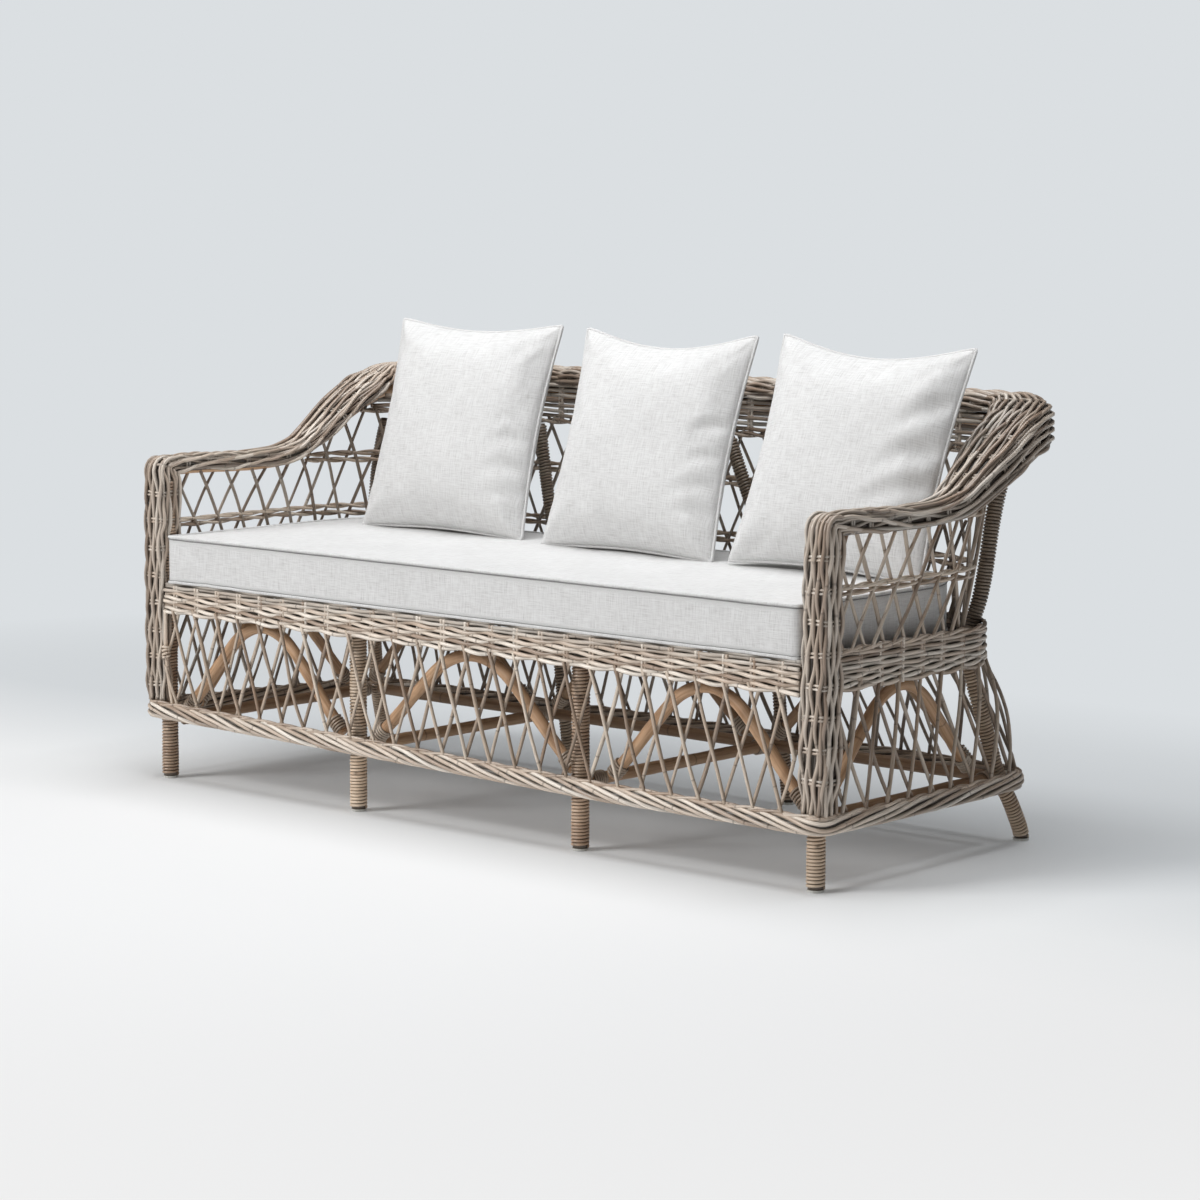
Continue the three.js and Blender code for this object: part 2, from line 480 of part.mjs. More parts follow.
// ---------------------------------------------------------------- loose cushions
{
  const sh = new THREE.Shape();
  const b = 14, X = CUSHION_X - b, Y0 = CUSHION_Y0 + b, Y1 = CUSHION_Y1 - b, R = 188, r = 14;
  sh.moveTo(-X + r, Y0); sh.lineTo(X - r, Y0); sh.absarc(X - r, Y0 + r, r, -Math.PI / 2, 0, false);
  sh.lineTo(X, Y1 - R); sh.absarc(X - R, Y1 - R, R, 0, Math.PI / 2, false);
  sh.lineTo(-X + R, Y1); sh.absarc(-X + R, Y1 - R, R, Math.PI / 2, Math.PI, false);
  sh.lineTo(-X, Y0 + r); sh.absarc(-X + r, Y0 + r, r, Math.PI, 1.5 * Math.PI, false);
  const g = new THREE.ExtrudeGeometry(sh, {
    depth: CUSHION_Z1 - CUSHION_Z0 - 2 * b, bevelEnabled: true, bevelThickness: b, bevelSize: b, bevelSegments: 2, curveSegments: 6,
  });
  g.translate(0, 0, CUSHION_Z0 + b);
  add('seat_cushion', fromSolid(solid(g)), M.linen);
}
function pillow(name, cx, cy, yaw, tilt) {
  const n = 10, pos = [], idx = [];
  const id = (i, j, k) => (k * (n + 1) + i) * (n + 1) + j;
  for (const k of [0, 1]) for (let i = 0; i <= n; i++) for (let j = 0; j <= n; j++) {
    const u = i / n * 2 - 1, v = j / n * 2 - 1;
    const pull = 16;
    const x = u * (PILLOW / 2 - pull * (1 - v * v)), z = v * (PILLOW / 2 - pull * (1 - u * u)) + PILLOW / 2;
    const f = Math.pow(Math.max(0, (1 - u * u) * (1 - v * v)), 0.42);
    pos.push(x, (k ? 1 : -1) * (5 + (PILLOW_T / 2 - 5) * f), z);
  }
  for (let i = 0; i < n; i++) for (let j = 0; j < n; j++) {
    const [a, b, c, d] = [id(i, j, 0), id(i + 1, j, 0), id(i + 1, j + 1, 0), id(i, j + 1, 0)];
    idx.push(a, b, c, a, c, d);
    const [e, f, g, h] = [id(i, j, 1), id(i + 1, j, 1), id(i + 1, j + 1, 1), id(i, j + 1, 1)];
    idx.push(e, g, f, e, h, g);
  }
  const edge = [];
  for (let i = 0; i < n; i++) edge.push([i, 0]);
  for (let j = 0; j < n; j++) edge.push([n, j]);
  for (let i = n; i > 0; i--) edge.push([i, n]);
  for (let j = n; j > 0; j--) edge.push([0, j]);
  for (let k = 0; k < edge.length; k++) {
    const [a, b] = [edge[k], edge[(k + 1) % edge.length]];
    const [p, q, r, s] = [id(a[0], a[1], 0), id(b[0], b[1], 0), id(b[0], b[1], 1), id(a[0], a[1], 1)];
    idx.push(p, s, r, p, r, q);
  }
  const m = new THREE.Matrix4().makeTranslation(cx, cy, CUSHION_Z1 + 1.6)
    .multiply(new THREE.Matrix4().makeRotationZ(yaw)).multiply(new THREE.Matrix4().makeRotationX(-tilt));
  for (let i = 0; i < pos.length; i += 3) {
    const p = V(pos[i], pos[i + 1], pos[i + 2]).applyMatrix4(m);
    pos[i] = p.x; pos[i + 1] = p.y; pos[i + 2] = p.z;
  }
  add(name, closed(pos, idx), M.linen);
}
const DEG = Math.PI / 180;
pillow('back_pillow_left', -475, 435, 0, 16 * DEG);
pillow('back_pillow_centre', 90, 400, -2 * DEG, 17 * DEG);
pillow('back_pillow_right', 618, 384, 0, 19.3 * DEG);

group.position.set(0, -Y_CENTRE, 0);
group.updateMatrixWorld(true);
export default group;
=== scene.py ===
"""Woven rattan garden sofa with loose cushions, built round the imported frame."""
import math

import bmesh
import bpy
import numpy as np
from mathutils import Matrix, Vector


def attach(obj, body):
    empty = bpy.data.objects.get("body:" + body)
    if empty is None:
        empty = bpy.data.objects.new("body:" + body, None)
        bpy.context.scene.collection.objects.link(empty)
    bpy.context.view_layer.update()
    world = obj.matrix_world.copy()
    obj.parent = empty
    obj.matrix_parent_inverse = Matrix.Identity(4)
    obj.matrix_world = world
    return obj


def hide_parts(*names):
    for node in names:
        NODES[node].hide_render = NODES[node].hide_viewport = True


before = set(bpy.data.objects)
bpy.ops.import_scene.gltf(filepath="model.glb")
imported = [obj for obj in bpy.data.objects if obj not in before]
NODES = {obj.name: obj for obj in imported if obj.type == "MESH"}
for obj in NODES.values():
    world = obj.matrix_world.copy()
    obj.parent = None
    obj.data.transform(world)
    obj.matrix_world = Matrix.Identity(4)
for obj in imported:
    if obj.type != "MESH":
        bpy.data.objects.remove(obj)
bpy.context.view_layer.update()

YC = 0.3734            # the working frame has its zero at the front legs; the row frame is centred
TAU = 2 * math.pi


# ------------------------------------------------------------------ numbers
def unit(a):
    return a / np.maximum(np.linalg.norm(a, axis=-1, keepdims=True), 1e-12)


def sstep(a, b, x):
    t = np.clip((np.asarray(x, float) - a) / (b - a), 0, 1)
    return t * t * (3 - 2 * t)


def arclen(P):
    return np.concatenate([[0], np.cumsum(np.linalg.norm(np.diff(P, axis=0), axis=1))])


def resample(P, n):
    P = np.asarray(P, float)
    s = arclen(P)
    t = np.linspace(0, s[-1], n)
    return np.stack([np.interp(t, s, P[:, i]) for i in range(3)], 1)


def curve(pts, step=0.004):
    """Smooth curve through the points, in even steps. Points are in millimetres."""
    P = np.asarray(pts, float) / 1000
    if len(P) == 2:
        return resample(P, max(2, int(round(np.linalg.norm(P[1] - P[0]) / step)) + 1))
    Q = np.vstack([2 * P[0] - P[1], P, 2 * P[-1] - P[-2]])
    k = np.concatenate([[0], np.cumsum(np.sqrt(np.linalg.norm(np.diff(Q, axis=0), axis=1)))])
    out = []
    for i in range(1, len(Q) - 2):
        t = np.linspace(k[i], k[i + 1], 24, endpoint=False)[:, None]
        a1 = (k[i] - t) / (k[i] - k[i - 1]) * Q[i - 1] + (t - k[i - 1]) / (k[i] - k[i - 1]) * Q[i]
        a2 = (k[i + 1] - t) / (k[i + 1] - k[i]) * Q[i] + (t - k[i]) / (k[i + 1] - k[i]) * Q[i + 1]
        a3 = (k[i + 2] - t) / (k[i + 2] - k[i + 1]) * Q[i + 1] + (t - k[i + 1]) / (k[i + 2] - k[i + 1]) * Q[i + 2]
        b1 = (k[i + 1] - t) / (k[i + 1] - k[i - 1]) * a1 + (t - k[i - 1]) / (k[i + 1] - k[i - 1]) * a2
        b2 = (k[i + 2] - t) / (k[i + 2] - k[i]) * a2 + (t - k[i]) / (k[i + 2] - k[i]) * a3
        out.append((k[i + 1] - t) / (k[i + 1] - k[i]) * b1 + (t - k[i]) / (k[i + 1] - k[i]) * b2)
    out.append(P[-1][None])
    P = np.vstack(out)
    return resample(P, max(2, int(round(arclen(P)[-1] / step)) + 1))


def mirror(P):
    return np.asarray(P) * [-1, 1, 1]


def wobble(s, rng, count, lam=(0.09, 0.19, 0.41), amp=1.0):
    """Slow uneven wandering along s, one row for each of count strands."""
    s = np.atleast_2d(s)
    out = 0
    for x in lam:
        out = out + np.sin(TAU * s / (x * rng.uniform(0.8, 1.25, (count, 1))) + rng.uniform(0, TAU, (count, 1)))
    return amp * out / len(lam) ** 0.5


# ------------------------------------------------------------------ meshes
def make_mesh(name, V, loops, totals, smooth=True):
    me = bpy.data.meshes.new(name)
    me.vertices.add(len(V))
    me.vertices.foreach_set("co", np.asarray(V, np.float32).ravel())
    me.loops.add(len(loops))
    me.loops.foreach_set("vertex_index", np.asarray(loops, np.int32))
    me.polygons.add(len(totals))
    starts = np.concatenate([[0], np.cumsum(totals)[:-1]]).astype(np.int32)
    me.polygons.foreach_set("loop_start", starts)
    me.polygons.foreach_set("loop_total", np.asarray(totals, np.int32))
    me.polygons.foreach_set("use_smooth", np.full(len(totals), smooth))
    me.update(calc_edges=True)
    me.validate()
    return me


def give(name, me, material, body, replaces=()):
    ob = bpy.data.objects.new(name, me)
    bpy.context.scene.collection.objects.link(ob)
    if material:
        me.materials.append(material)
    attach(ob, body)
    if replaces:
        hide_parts(*replaces)
    return ob


class Cane:
    """Collects round strands into one mesh. Each strand carries its own tone and its length coordinate."""

    def __init__(self, seed):
        self.V, self.loops, self.totals, self.tone, self.grain, self.n = [], [], [], [], [], 0
        self.rng = np.random.default_rng(seed)

    def add(self, P, r, sides=7, tone=None, shade=1.0, loop=False, caps=True, normal=None, flat=1.0, edge=0.0):
        P = np.asarray(P, float)
        if P.ndim == 2:
            P = P[None]
        S, N, _ = P.shape
        r = np.broadcast_to(np.asarray(r, float), (S, N)) if np.ndim(r) != 1 else np.broadcast_to(np.asarray(r, float)[None, :], (S, N))
        if loop:
            T = unit(np.roll(P, -1, 1) - np.roll(P, 1, 1))
        else:
            T = unit(np.gradient(P, axis=1))
        if normal is not None:
            U = np.broadcast_to(np.asarray(normal, float), P.shape)
            U = unit(U - (U * T).sum(-1, keepdims=True) * T)
        else:
            U = np.empty_like(P)
            ref = np.zeros((S, 3))
            ref[np.arange(S), np.abs(T[:, 0]).argmin(1)] = 1
            u = ref
            for i in range(N):
                t = T[:, i]
                u = unit(u - (u * t).sum(-1, keepdims=True) * t)
                U[:, i] = u
            if loop:
                # spread the twist that is left over evenly
                t = T[:, 0]
                end = unit(u - (u * t).sum(-1, keepdims=True) * t)
                a = np.arctan2((np.cross(U[:, 0], end) * t).sum(-1), (U[:, 0] * end).sum(-1))
                k = -a[:, None] * np.arange(N) / N
                W = np.cross(T, U)
                U = np.cos(k)[..., None] * U + np.sin(k)[..., None] * W
        W = np.cross(T, U)
        a = TAU * (np.arange(sides) + 0.5) / sides
        c, s = np.cos(a), np.sin(a)
        ring = P[:, :, None] + r[:, :, None, None] * (c[None, None, :, None] * U[:, :, None] * flat + s[None, None, :, None] * W[:, :, None])
        self.V.append(ring.reshape(-1, 3) - [0, YC, 0])
        base = self.n + np.arange(S)[:, None, None] * N * sides
        m = N if loop else N - 1
        i = (np.arange(m) * sides)[None, :, None]
        j = (((np.arange(m) + 1) % N) * sides)[None, :, None]
        k = np.arange(sides)[None, None, :]
        k2 = (k + 1) % sides
        q = np.stack([base + i + k, base + i + k2, base + j + k2, base + j + k], -1).reshape(-1)
        self.loops.append(q)
        self.totals.append(np.full(len(q) // 4, 4))
        if caps and not loop:
            f = np.arange(sides)
            first = (self.n + np.arange(S) * N * sides)[:, None] + f[::-1]
            last = (self.n + np.arange(S) * N * sides + (N - 1) * sides)[:, None] + f
            self.loops.append(np.concatenate([first, last]).reshape(-1))
            self.totals.append(np.full(2 * S, sides))
        self.n += S * N * sides
        if tone is None:
            tone = self.rng.uniform(0, 1, S)
        tone = np.broadcast_to(np.asarray(tone, float), (S,))
        d = np.concatenate([np.zeros((S, 1)), np.cumsum(np.linalg.norm(np.diff(P, axis=1), axis=2), 1)], 1)
        along = d + self.rng.uniform(0, 40, (S, 1))
        # painted shade: edge darkens the sides of a strand that turn away from the outer face, as if they lay in shade
        shade = np.broadcast_to(np.asarray(shade, float), (S, N))[..., None] * (1 - edge * (1 - np.clip(c, 0, 1) ** 0.8))
        self.tone.append(np.stack([
            np.repeat(np.repeat(tone[:, None], N, 1)[..., None], sides, 2),
            shade,
            np.zeros((S, N, sides))], -1).reshape(-1, 3))
        self.grain.append(np.stack([
            np.repeat(along[..., None], sides, 2),
            np.broadcast_to(c, (S, N, sides)),
            np.broadcast_to(s, (S, N, sides))], -1).reshape(-1, 3))

    def piece(self, name, material, body, replaces=(), slot=None):
        me = make_mesh(name, np.concatenate(self.V), np.concatenate(self.loops), np.concatenate(self.totals))
        for key, data in (("tone", self.tone), ("grain", self.grain)):
            at = me.attributes.new(key, "FLOAT_VECTOR", "POINT")
            at.data.foreach_set("vector", np.concatenate(data).astype(np.float32).ravel())
        return give(name, me, material, body, replaces)


# ------------------------------------------------------------------ materials
class Tree:
    def __init__(self, name):
        self.mat = bpy.data.materials.new(name)
        self.mat.use_nodes = True
        self.t = self.mat.node_tree
        self.bsdf = self.t.nodes["Principled BSDF"]

    def node(self, kind, **kw):
        n = self.t.nodes.new(kind)
        for k, v in kw.items():
            setattr(n, k, v)
        return n

    def link(self, a, b):
        self.t.links.new(a, b)

    def attr(self, name):
        return self.node("ShaderNodeAttribute", attribute_name=name).outputs["Vector"]

    def split(self, v):
        n = self.node("ShaderNodeSeparateXYZ")
        self.link(v, n.inputs[0])
        return n.outputs

    def join(self, x, y, z):
        n = self.node("ShaderNodeCombineXYZ")
        for i, v in enumerate((x, y, z)):
            if isinstance(v, (int, float)):
                n.inputs[i].default_value = v
            else:
                self.link(v, n.inputs[i])
        return n.outputs[0]

    def math(self, op, a, b=None, c=None, clamp=False):
        n = self.node("ShaderNodeMath", operation=op, use_clamp=clamp)
        for i, v in enumerate((a, b, c)):
            if v is None:
                continue
            if isinstance(v, (int, float)):
                n.inputs[i].default_value = v
            else:
                self.link(v, n.inputs[i])
        return n.outputs[0]

    def noise(self, vec, scale=1.0, detail=2.0, rough=0.5, dims="3D"):
        n = self.node("ShaderNodeTexNoise", noise_dimensions=dims)
        n.inputs["Scale"].default_value = scale
        n.inputs["Detail"].default_value = detail
        n.inputs["Roughness"].default_value = rough
        self.link(vec, n.inputs["Vector"])
        return n.outputs["Fac"]

    def ramp(self, fac, stops, interp="LINEAR"):
        n = self.node("ShaderNodeValToRGB")
        n.color_ramp.interpolation = interp
        el = n.color_ramp.elements
        while len(el) < len(stops):
            el.new(0.5)
        for e, (p, c) in zip(el, stops):
            e.position = p
            e.color = (*c, 1) if len(c) == 3 else c
        self.link(fac, n.inputs[0])
        return n.outputs[0]

    def span(self, fac, a, b, c, d, clamp=True):
        n = self.node("ShaderNodeMapRange", clamp=clamp)
        for i, v in enumerate((a, b, c, d)):
            n.inputs[i + 1].default_value = v
        self.link(fac, n.inputs[0])
        return n.outputs[0]

    def mix(self, fac, a, b, mode="MIX"):
        n = self.node("ShaderNodeMix", data_type="RGBA", blend_type=mode)
        for sock, v in ((n.inputs[0], fac), (n.inputs[6], a), (n.inputs[7], b)):
            if isinstance(v, (int, float)):
                sock.default_value = v
            elif isinstance(v, tuple):
                sock.default_value = (*v, 1)
            else:
                self.link(v, sock)
        return n.outputs[2]

    def scaled(self, color, factor):
        n = self.node("ShaderNodeVectorMath", operation="SCALE")
        self.link(color, n.inputs[0])
        if isinstance(factor, (int, float)):
            n.inputs[3].default_value = factor
        else:
            self.link(factor, n.inputs[3])
        return n.outputs[0]

    def bump(self, height, strength, distance):
        n = self.node("ShaderNodeBump")
        n.inputs["Strength"].default_value = strength
        n.inputs["Distance"].default_value = distance
        self.link(height, n.inputs["Height"])
        self.link(n.outputs[0], self.bsdf.inputs["Normal"])

    def set(self, **kw):
        for k, v in kw.items():
            self.bsdf.inputs[k.replace("_", " ")].default_value = v


def srgb(r, g, b):
    f = lambda x: (x / 255 / 12.92) if x / 255 <= 0.04045 else ((x / 255 + 0.055) / 1.055) ** 2.4
    return (f(r), f(g), f(b))

def cane_material(name, stops, ring=0.22, light=1.0, grey=0.38):
    """Weathered cane: each strand has its own tone, streaks run along it, nodes cross it; painted shade from tone's
    second channel darkens recesses.
    """
    m = Tree(name)
    tone, grain = m.split(m.attr("tone")), m.split(m.attr("grain"))
    # slow change along the strand
    slow = m.noise(m.join(m.math("MULTIPLY", grain[0], 3.2), m.math("MULTIPLY", tone[0], 31), 0.0), 1.0, 2.0)
    key = m.math("ADD", tone[0], m.span(slow, 0.25, 0.75, -0.30, 0.30, clamp=False), clamp=True)
    color = m.ramp(key, stops)
    # fine streaks
    vec = m.join(m.math("MULTIPLY", grain[0], 30), m.math("MULTIPLY", grain[1], 2.1), m.math("MULTIPLY", grain[2], 2.1))
    fine = m.noise(vec, 1.0, 4.0, 0.65)
    color = m.scaled(color, m.span(fine, 0.28, 0.72, 0.74, 1.26))
    # grey bloom of old cane, and warmer places where it has worn off
    spot = m.noise(m.join(m.math("MULTIPLY", grain[0], 9), m.math("ADD", grain[1], m.math("MULTIPLY", tone[0], 17)), grain[2]), 1.0, 3.0, 0.6)
    color = m.mix(m.span(spot, 0.46, 0.72, 0.0, grey), color, srgb(196, 182, 169))
    warm = m.noise(m.join(m.math("MULTIPLY", grain[0], 4), m.math("MULTIPLY", tone[0], 53), 2.0), 1.0, 2.0, 0.5)
    color = m.mix(m.span(warm, 0.55, 0.78, 0.0, 0.42), color, srgb(188, 150, 116))
    # nodes of the cane
    f = m.math("FRACT", m.math("ADD", m.math("DIVIDE", grain[0], ring), tone[0]))
    near = m.math("ABSOLUTE", m.math("SUBTRACT", f, 0.5))
    node = m.span(near, 0.0, 0.013, 1.0, 0.0)
    color = m.mix(m.math("MULTIPLY", node, 0.55), color, srgb(72, 54, 42))
    # painted light and shade: the colour is scaled by the shade each strand carries
    shade = tone[1]
    color = m.scaled(color, m.math("MULTIPLY", shade, light))
    m.link(color, m.bsdf.inputs["Base Color"])
    m.link(m.span(fine, 0.3, 0.7, 0.32, 0.52), m.bsdf.inputs["Roughness"])
    m.set(Specular_IOR_Level=0.9)
    h = m.math("ADD", m.math("MULTIPLY", fine, 0.7), m.math("MULTIPLY", node, 1.0))
    m.bump(h, 0.65, 0.0009)
    return m.mat


CANE = [(0.0, srgb(158, 134, 114)), (0.3, srgb(196, 176, 157)), (0.62, srgb(225, 209, 192)), (1.0, srgb(244, 234, 221))]
ROD = [(0.0, srgb(152, 129, 109)), (0.35, srgb(184, 163, 142)), (0.7, srgb(210, 191, 171)), (1.0, srgb(231, 216, 198))]
WRAP = [(0.0, srgb(160, 130, 106)), (0.35, srgb(192, 164, 138)), (0.7, srgb(215, 191, 165)), (1.0, srgb(233, 213, 190))]
cane = cane_material("cane_weathered", CANE)
cane_rod = cane_material("cane_rod", ROD, ring=0.19, grey=0.30)
cane_rim = cane_material("cane_rim", CANE, ring=0.31)
wrapped = cane_material("cane_wrapped", WRAP, ring=0.47, grey=0.22)


def wood_material(name):
    m = Tree(name)
    tone, grain = m.split(m.attr("tone")), m.split(m.attr("grain"))
    vec = m.join(m.math("MULTIPLY", grain[0], 9), m.math("MULTIPLY", grain[1], 2.6), m.math("MULTIPLY", grain[2], 2.6))
    streak = m.noise(vec, 1.0, 5.0, 0.62)
    slow = m.noise(m.join(m.math("MULTIPLY", grain[0], 2.2), grain[1], grain[2]), 1.0, 2.0)
    color = m.ramp(streak, [(0.25, srgb(166, 124, 92)), (0.5, srgb(207, 168, 132)), (0.75, srgb(226, 191, 158))])
    color = m.mix(m.span(slow, 0.45, 0.78, 0.0, 0.5), color, srgb(160, 124, 96))
    f = m.math("FRACT", m.math("ADD", m.math("DIVIDE", grain[0], 0.34), tone[0]))
    node = m.span(m.math("ABSOLUTE", m.math("SUBTRACT", f, 0.5)), 0.0, 0.010, 1.0, 0.0)
    color = m.mix(m.math("MULTIPLY", node, 0.5), color, srgb(84, 56, 38))
    # painted shade: the colour is scaled by the shade each pole carries
    color = m.scaled(color, tone[1])
    m.link(color, m.bsdf.inputs["Base Color"])
    m.link(m.span(streak, 0.3, 0.7, 0.36, 0.58), m.bsdf.inputs["Roughness"])
    m.set(Specular_IOR_Level=0.4)
    m.bump(m.math("ADD", streak, node), 0.4, 0.0012)
    return m.mat


pole_wood = wood_material("peeled_pole")


def plastic_material():
    m = Tree("glide_plastic")
    co = m.node("ShaderNodeTexCoord").outputs["Object"]
    n = m.noise(co, 160.0, 3.0, 0.6)
    big = m.noise(co, 30.0, 2.0, 0.6)
    color = m.ramp(n, [(0.3, srgb(196, 194, 187)), (0.7, srgb(222, 221, 216))])
    color = m.mix(m.span(big, 0.5, 0.75, 0.0, 0.5), color, srgb(150, 143, 132))
    m.link(color, m.bsdf.inputs["Base Color"])
    m.link(m.span(n, 0.3, 0.7, 0.42, 0.6), m.bsdf.inputs["Roughness"])
    m.bump(n, 0.2, 0.0003)
    return m.mat


plastic = plastic_material()


def linen_material(name, tint=1.0):
    """Slubby linen. The attribute cloth holds the place on the flat cloth in metres."""
    m = Tree(name)
    co = m.split(m.attr("cloth"))
    # threads of uneven thickness both ways
    warp = m.noise(m.join(m.math("MULTIPLY", co[0], 900), m.math("MULTIPLY", co[1], 34), co[2]), 1.0, 2.0, 0.6)
    weft = m.noise(m.join(m.math("MULTIPLY", co[0], 34), m.math("MULTIPLY", co[1], 900), co[2]), 1.0, 2.0, 0.6)
    slub = m.noise(m.join(m.math("MULTIPLY", co[0], 330), m.math("MULTIPLY", co[1], 22), co[2]), 1.0, 1.0, 0.5)
    slub2 = m.noise(m.join(m.math("MULTIPLY", co[0], 26), m.math("MULTIPLY", co[1], 360), co[2]), 1.0, 1.0, 0.5)
    patch = m.noise(m.join(m.math("MULTIPLY", co[0], 7), m.math("MULTIPLY", co[1], 7), co[2]), 1.0, 2.0, 0.5)
    a = m.math("ADD", warp, weft)
    key = m.math("ADD", m.math("MULTIPLY", a, 0.5), m.math("MULTIPLY", m.math("ADD", slub, slub2), 0.25))
    color = m.ramp(key, [
        (0.52, tuple(x * tint for x in srgb(189, 188, 186))),
        (0.70, tuple(x * tint for x in srgb(213, 212, 211))),
        (0.84, tuple(x * tint for x in srgb(226, 226, 225)))])
    color = m.scaled(color, m.span(patch, 0.3, 0.7, 0.97, 1.03))
    m.link(color, m.bsdf.inputs["Base Color"])
    m.set(Roughness=0.92, Specular_IOR_Level=0.15, Sheen_Weight=0.2, Sheen_Roughness=0.5)
    # plain weave at the scale of the threads
    u = m.math("SINE", m.math("MULTIPLY", co[0], TAU / 0.0011))
    v = m.math("SINE", m.math("MULTIPLY", co[1], TAU / 0.0011))
    h = m.math("ADD", m.math("MULTIPLY", m.math("MULTIPLY", u, v), 0.25), m.math("MULTIPLY", key, 1.4))
    m.bump(h, 0.5, 0.0006)
    return m.mat


linen = linen_material("linen")
linen_pipe = linen_material("linen_piping", 0.985)
# painted shadow: a dark linen for the shaded grooves beside the piping
linen_seam_shadow = linen_material("linen_seam_shadow", 0.36)


# ------------------------------------------------------------------ arm rims, corner columns and rolled top: one woven sheet
BRAID_LIFT = 0.024


def lift_at(x, y):
    """How much the bottom braid rises towards the left front corner, metres."""
    return BRAID_LIFT * np.clip((0.4 - np.asarray(x)) / 1.3, 0, 1) * np.clip(1 - np.asarray(y) / 0.69, 0, 1)


def rim_half(z0, step):
    half = [(910, 1, z) for z in np.arange(z0, 672, 12.0)]
    n0 = len(half)
    for d in np.linspace(0, 90, 9):
        a = math.radians(d)
        half.append((910, 13 - 12 * math.cos(a), 682 + 12 * math.sin(a)))
    arm = curve([(910, 27, 693), (910, 60, 694), (910, 140, 693), (910, 220, 690), (910, 300, 690), (910, 360, 694), (910, 412, 706),
                 (908, 462, 732), (906, 512, 766), (903, 560, 796), (900, 606, 822), (895, 652, 844), (880, 690, 857),
                 (850, 714, 865), (812, 718, 868), (760, 718, 868)], 0.008) * 1000
    half = np.vstack([half, arm, [(x, 718, 868) for x in np.arange(750, -1, -15.0)]]) / 1000
    s = arclen(half)
    c = s[n0 + 4]
    # finer steps round the shoulder
    t = []
    for a, b, st in ((0, c - 0.05, step), (c - 0.05, c + 0.05, 0.0045), (c + 0.05, s[-1], step)):
        t.append(np.linspace(a, b, int(round((b - a) / st)) + 1)[:-1])
    t = np.concatenate(t + [[s[-1]]])
    return np.stack([np.interp(t, s, half[:, i]) for i in range(3)], 1), t, c


_R, _tr, _cr = rim_half(150, 0.0105)
_Lh, _tl, _cl = rim_half(174, 0.0105)
_lr, _ll = _tr[-1], _tl[-1]
RIM = np.vstack([_R, mirror(_Lh)[::-1][1:]])
# distance from the shoulder, below 0 on the columns; distance from the middle of the back, with its sign
RIM_D = np.concatenate([_tr - _cr, (_tl - _cl)[::-1][1:]])
RIM_M = np.concatenate([_tr - _lr, (_ll - _tl)[::-1][1:]])
RIM_S = RIM_M + _lr
D_MID = _lr - _cr
RIM_T = unit(np.gradient(RIM, axis=0))
_side = np.sign(RIM[:, 0])
_side[_side == 0] = 1
_x = np.cross(np.array([[1.0, 0, 0]]), RIM_T) * _side[:, None]
_z = unit(np.array([[0, 0, 1.0]]) - RIM_T[:, 2:3] * RIM_T)
RIM_O = np.where((RIM[:, 1] < 0.05)[:, None], unit(_x), _z)
RIM_L = np.cross(RIM_T, RIM_O)
_col = 1 - sstep(-0.03, 0.04, RIM_D)
_e = sstep(0.321, 0.70, RIM_D)
_wd = sstep(0.237, 0.70, RIM_D)
RIM_W = 0.060 + (0.134 - 0.060) * _wd
RIM_HO = 0.044 + (0.086 - 0.044) * _e + 0.010 * _col       # depth on the outer side
RIM_HI = 0.037 + (0.040 - 0.037) * _e + 0.019 * _col       # depth on the inner side
RIM_H = 0.044 + (0.070 - 0.044) * _e + 0.006 * _col
RIM_RHO = 0.014 + 0.016 * _e
BASE_OFF = -0.0077 + 0.0035 * _col                         # centres of the strands under the surface
# painted shade: how much darker the columns are drawn than the arms
COL_PAINTED_SHADE = 0.17


def section(w, i=slice(None)):
    """Place and outward normal on the rim's outer surface. w runs 0..1 from the inner lower edge over the top to the outer lower edge."""
    A, H, rho = RIM_W[i] / 2, RIM_H[i], RIM_RHO[i]
    ai, ao = RIM_HI[i] - rho, RIM_HO[i] - rho
    c, b = math.pi / 2 * rho, 2 * A - 2 * rho
    tot = ai + ao + 2 * c + b
    s = np.asarray(w) * tot
    x = np.zeros_like(s); y = np.zeros_like(s); nx = np.zeros_like(s); ny = np.zeros_like(s)
    A, H, rho, ai, ao, c, b, tot = (np.broadcast_to(q, s.shape) for q in (A, H, rho, ai, ao, c, b, tot))

    def put(m, px, py, qx, qy):
        x[m], y[m], nx[m], ny[m] = px[m], py[m], qx[m], qy[m]
    z1 = np.zeros_like(s); o1 = np.ones_like(s)
    put(s < ai, -A, H / 2 - rho - ai + s, -o1, z1)
    f = (s - ai) / rho
    put((s >= ai) & (s < ai + c), -A + rho - rho * np.cos(f), H / 2 - rho + rho * np.sin(f), -np.cos(f), np.sin(f))
    put((s >= ai + c) & (s < ai + c + b), -A + rho + (s - ai - c), H / 2 + z1, z1, o1)
    f = (s - ai - c - b) / rho
    put((s >= ai + c + b) & (s < ai + 2 * c + b), A - rho + rho * np.sin(f), H / 2 - rho + rho * np.cos(f), np.sin(f), np.cos(f))
    put(s >= ai + 2 * c + b, A + z1, H / 2 - rho - (s - ai - 2 * c - b), o1, z1)
    return x, y, nx, ny


def on_rim(w, out, i=slice(None)):
    """Points on the rim and the outward normal there: w across, out outwards from the surface."""
    x, y, nx, ny = section(w, i)
    L, O, C = RIM_L[i], RIM_O[i], RIM[i]
    n = L * nx[..., None] + O * ny[..., None]
    return C + L * x[..., None] + O * y[..., None] + n * np.asarray(out)[..., None], n


def forward(P, T, least=0.0012):
    """Points of a strand that go on along T, so that it doesn't fold back inside the tight bend of the shoulder."""
    def run(P, T):
        keep = [0]
        for i in range(1, len(P)):
            if (P[i] - P[keep[-1]]) @ T[i] > least:
                keep.append(i)
        return np.array(keep)
    n = len(P)
    return np.intersect1d(run(P, T), n - 1 - run(P[::-1], -T[::-1]))


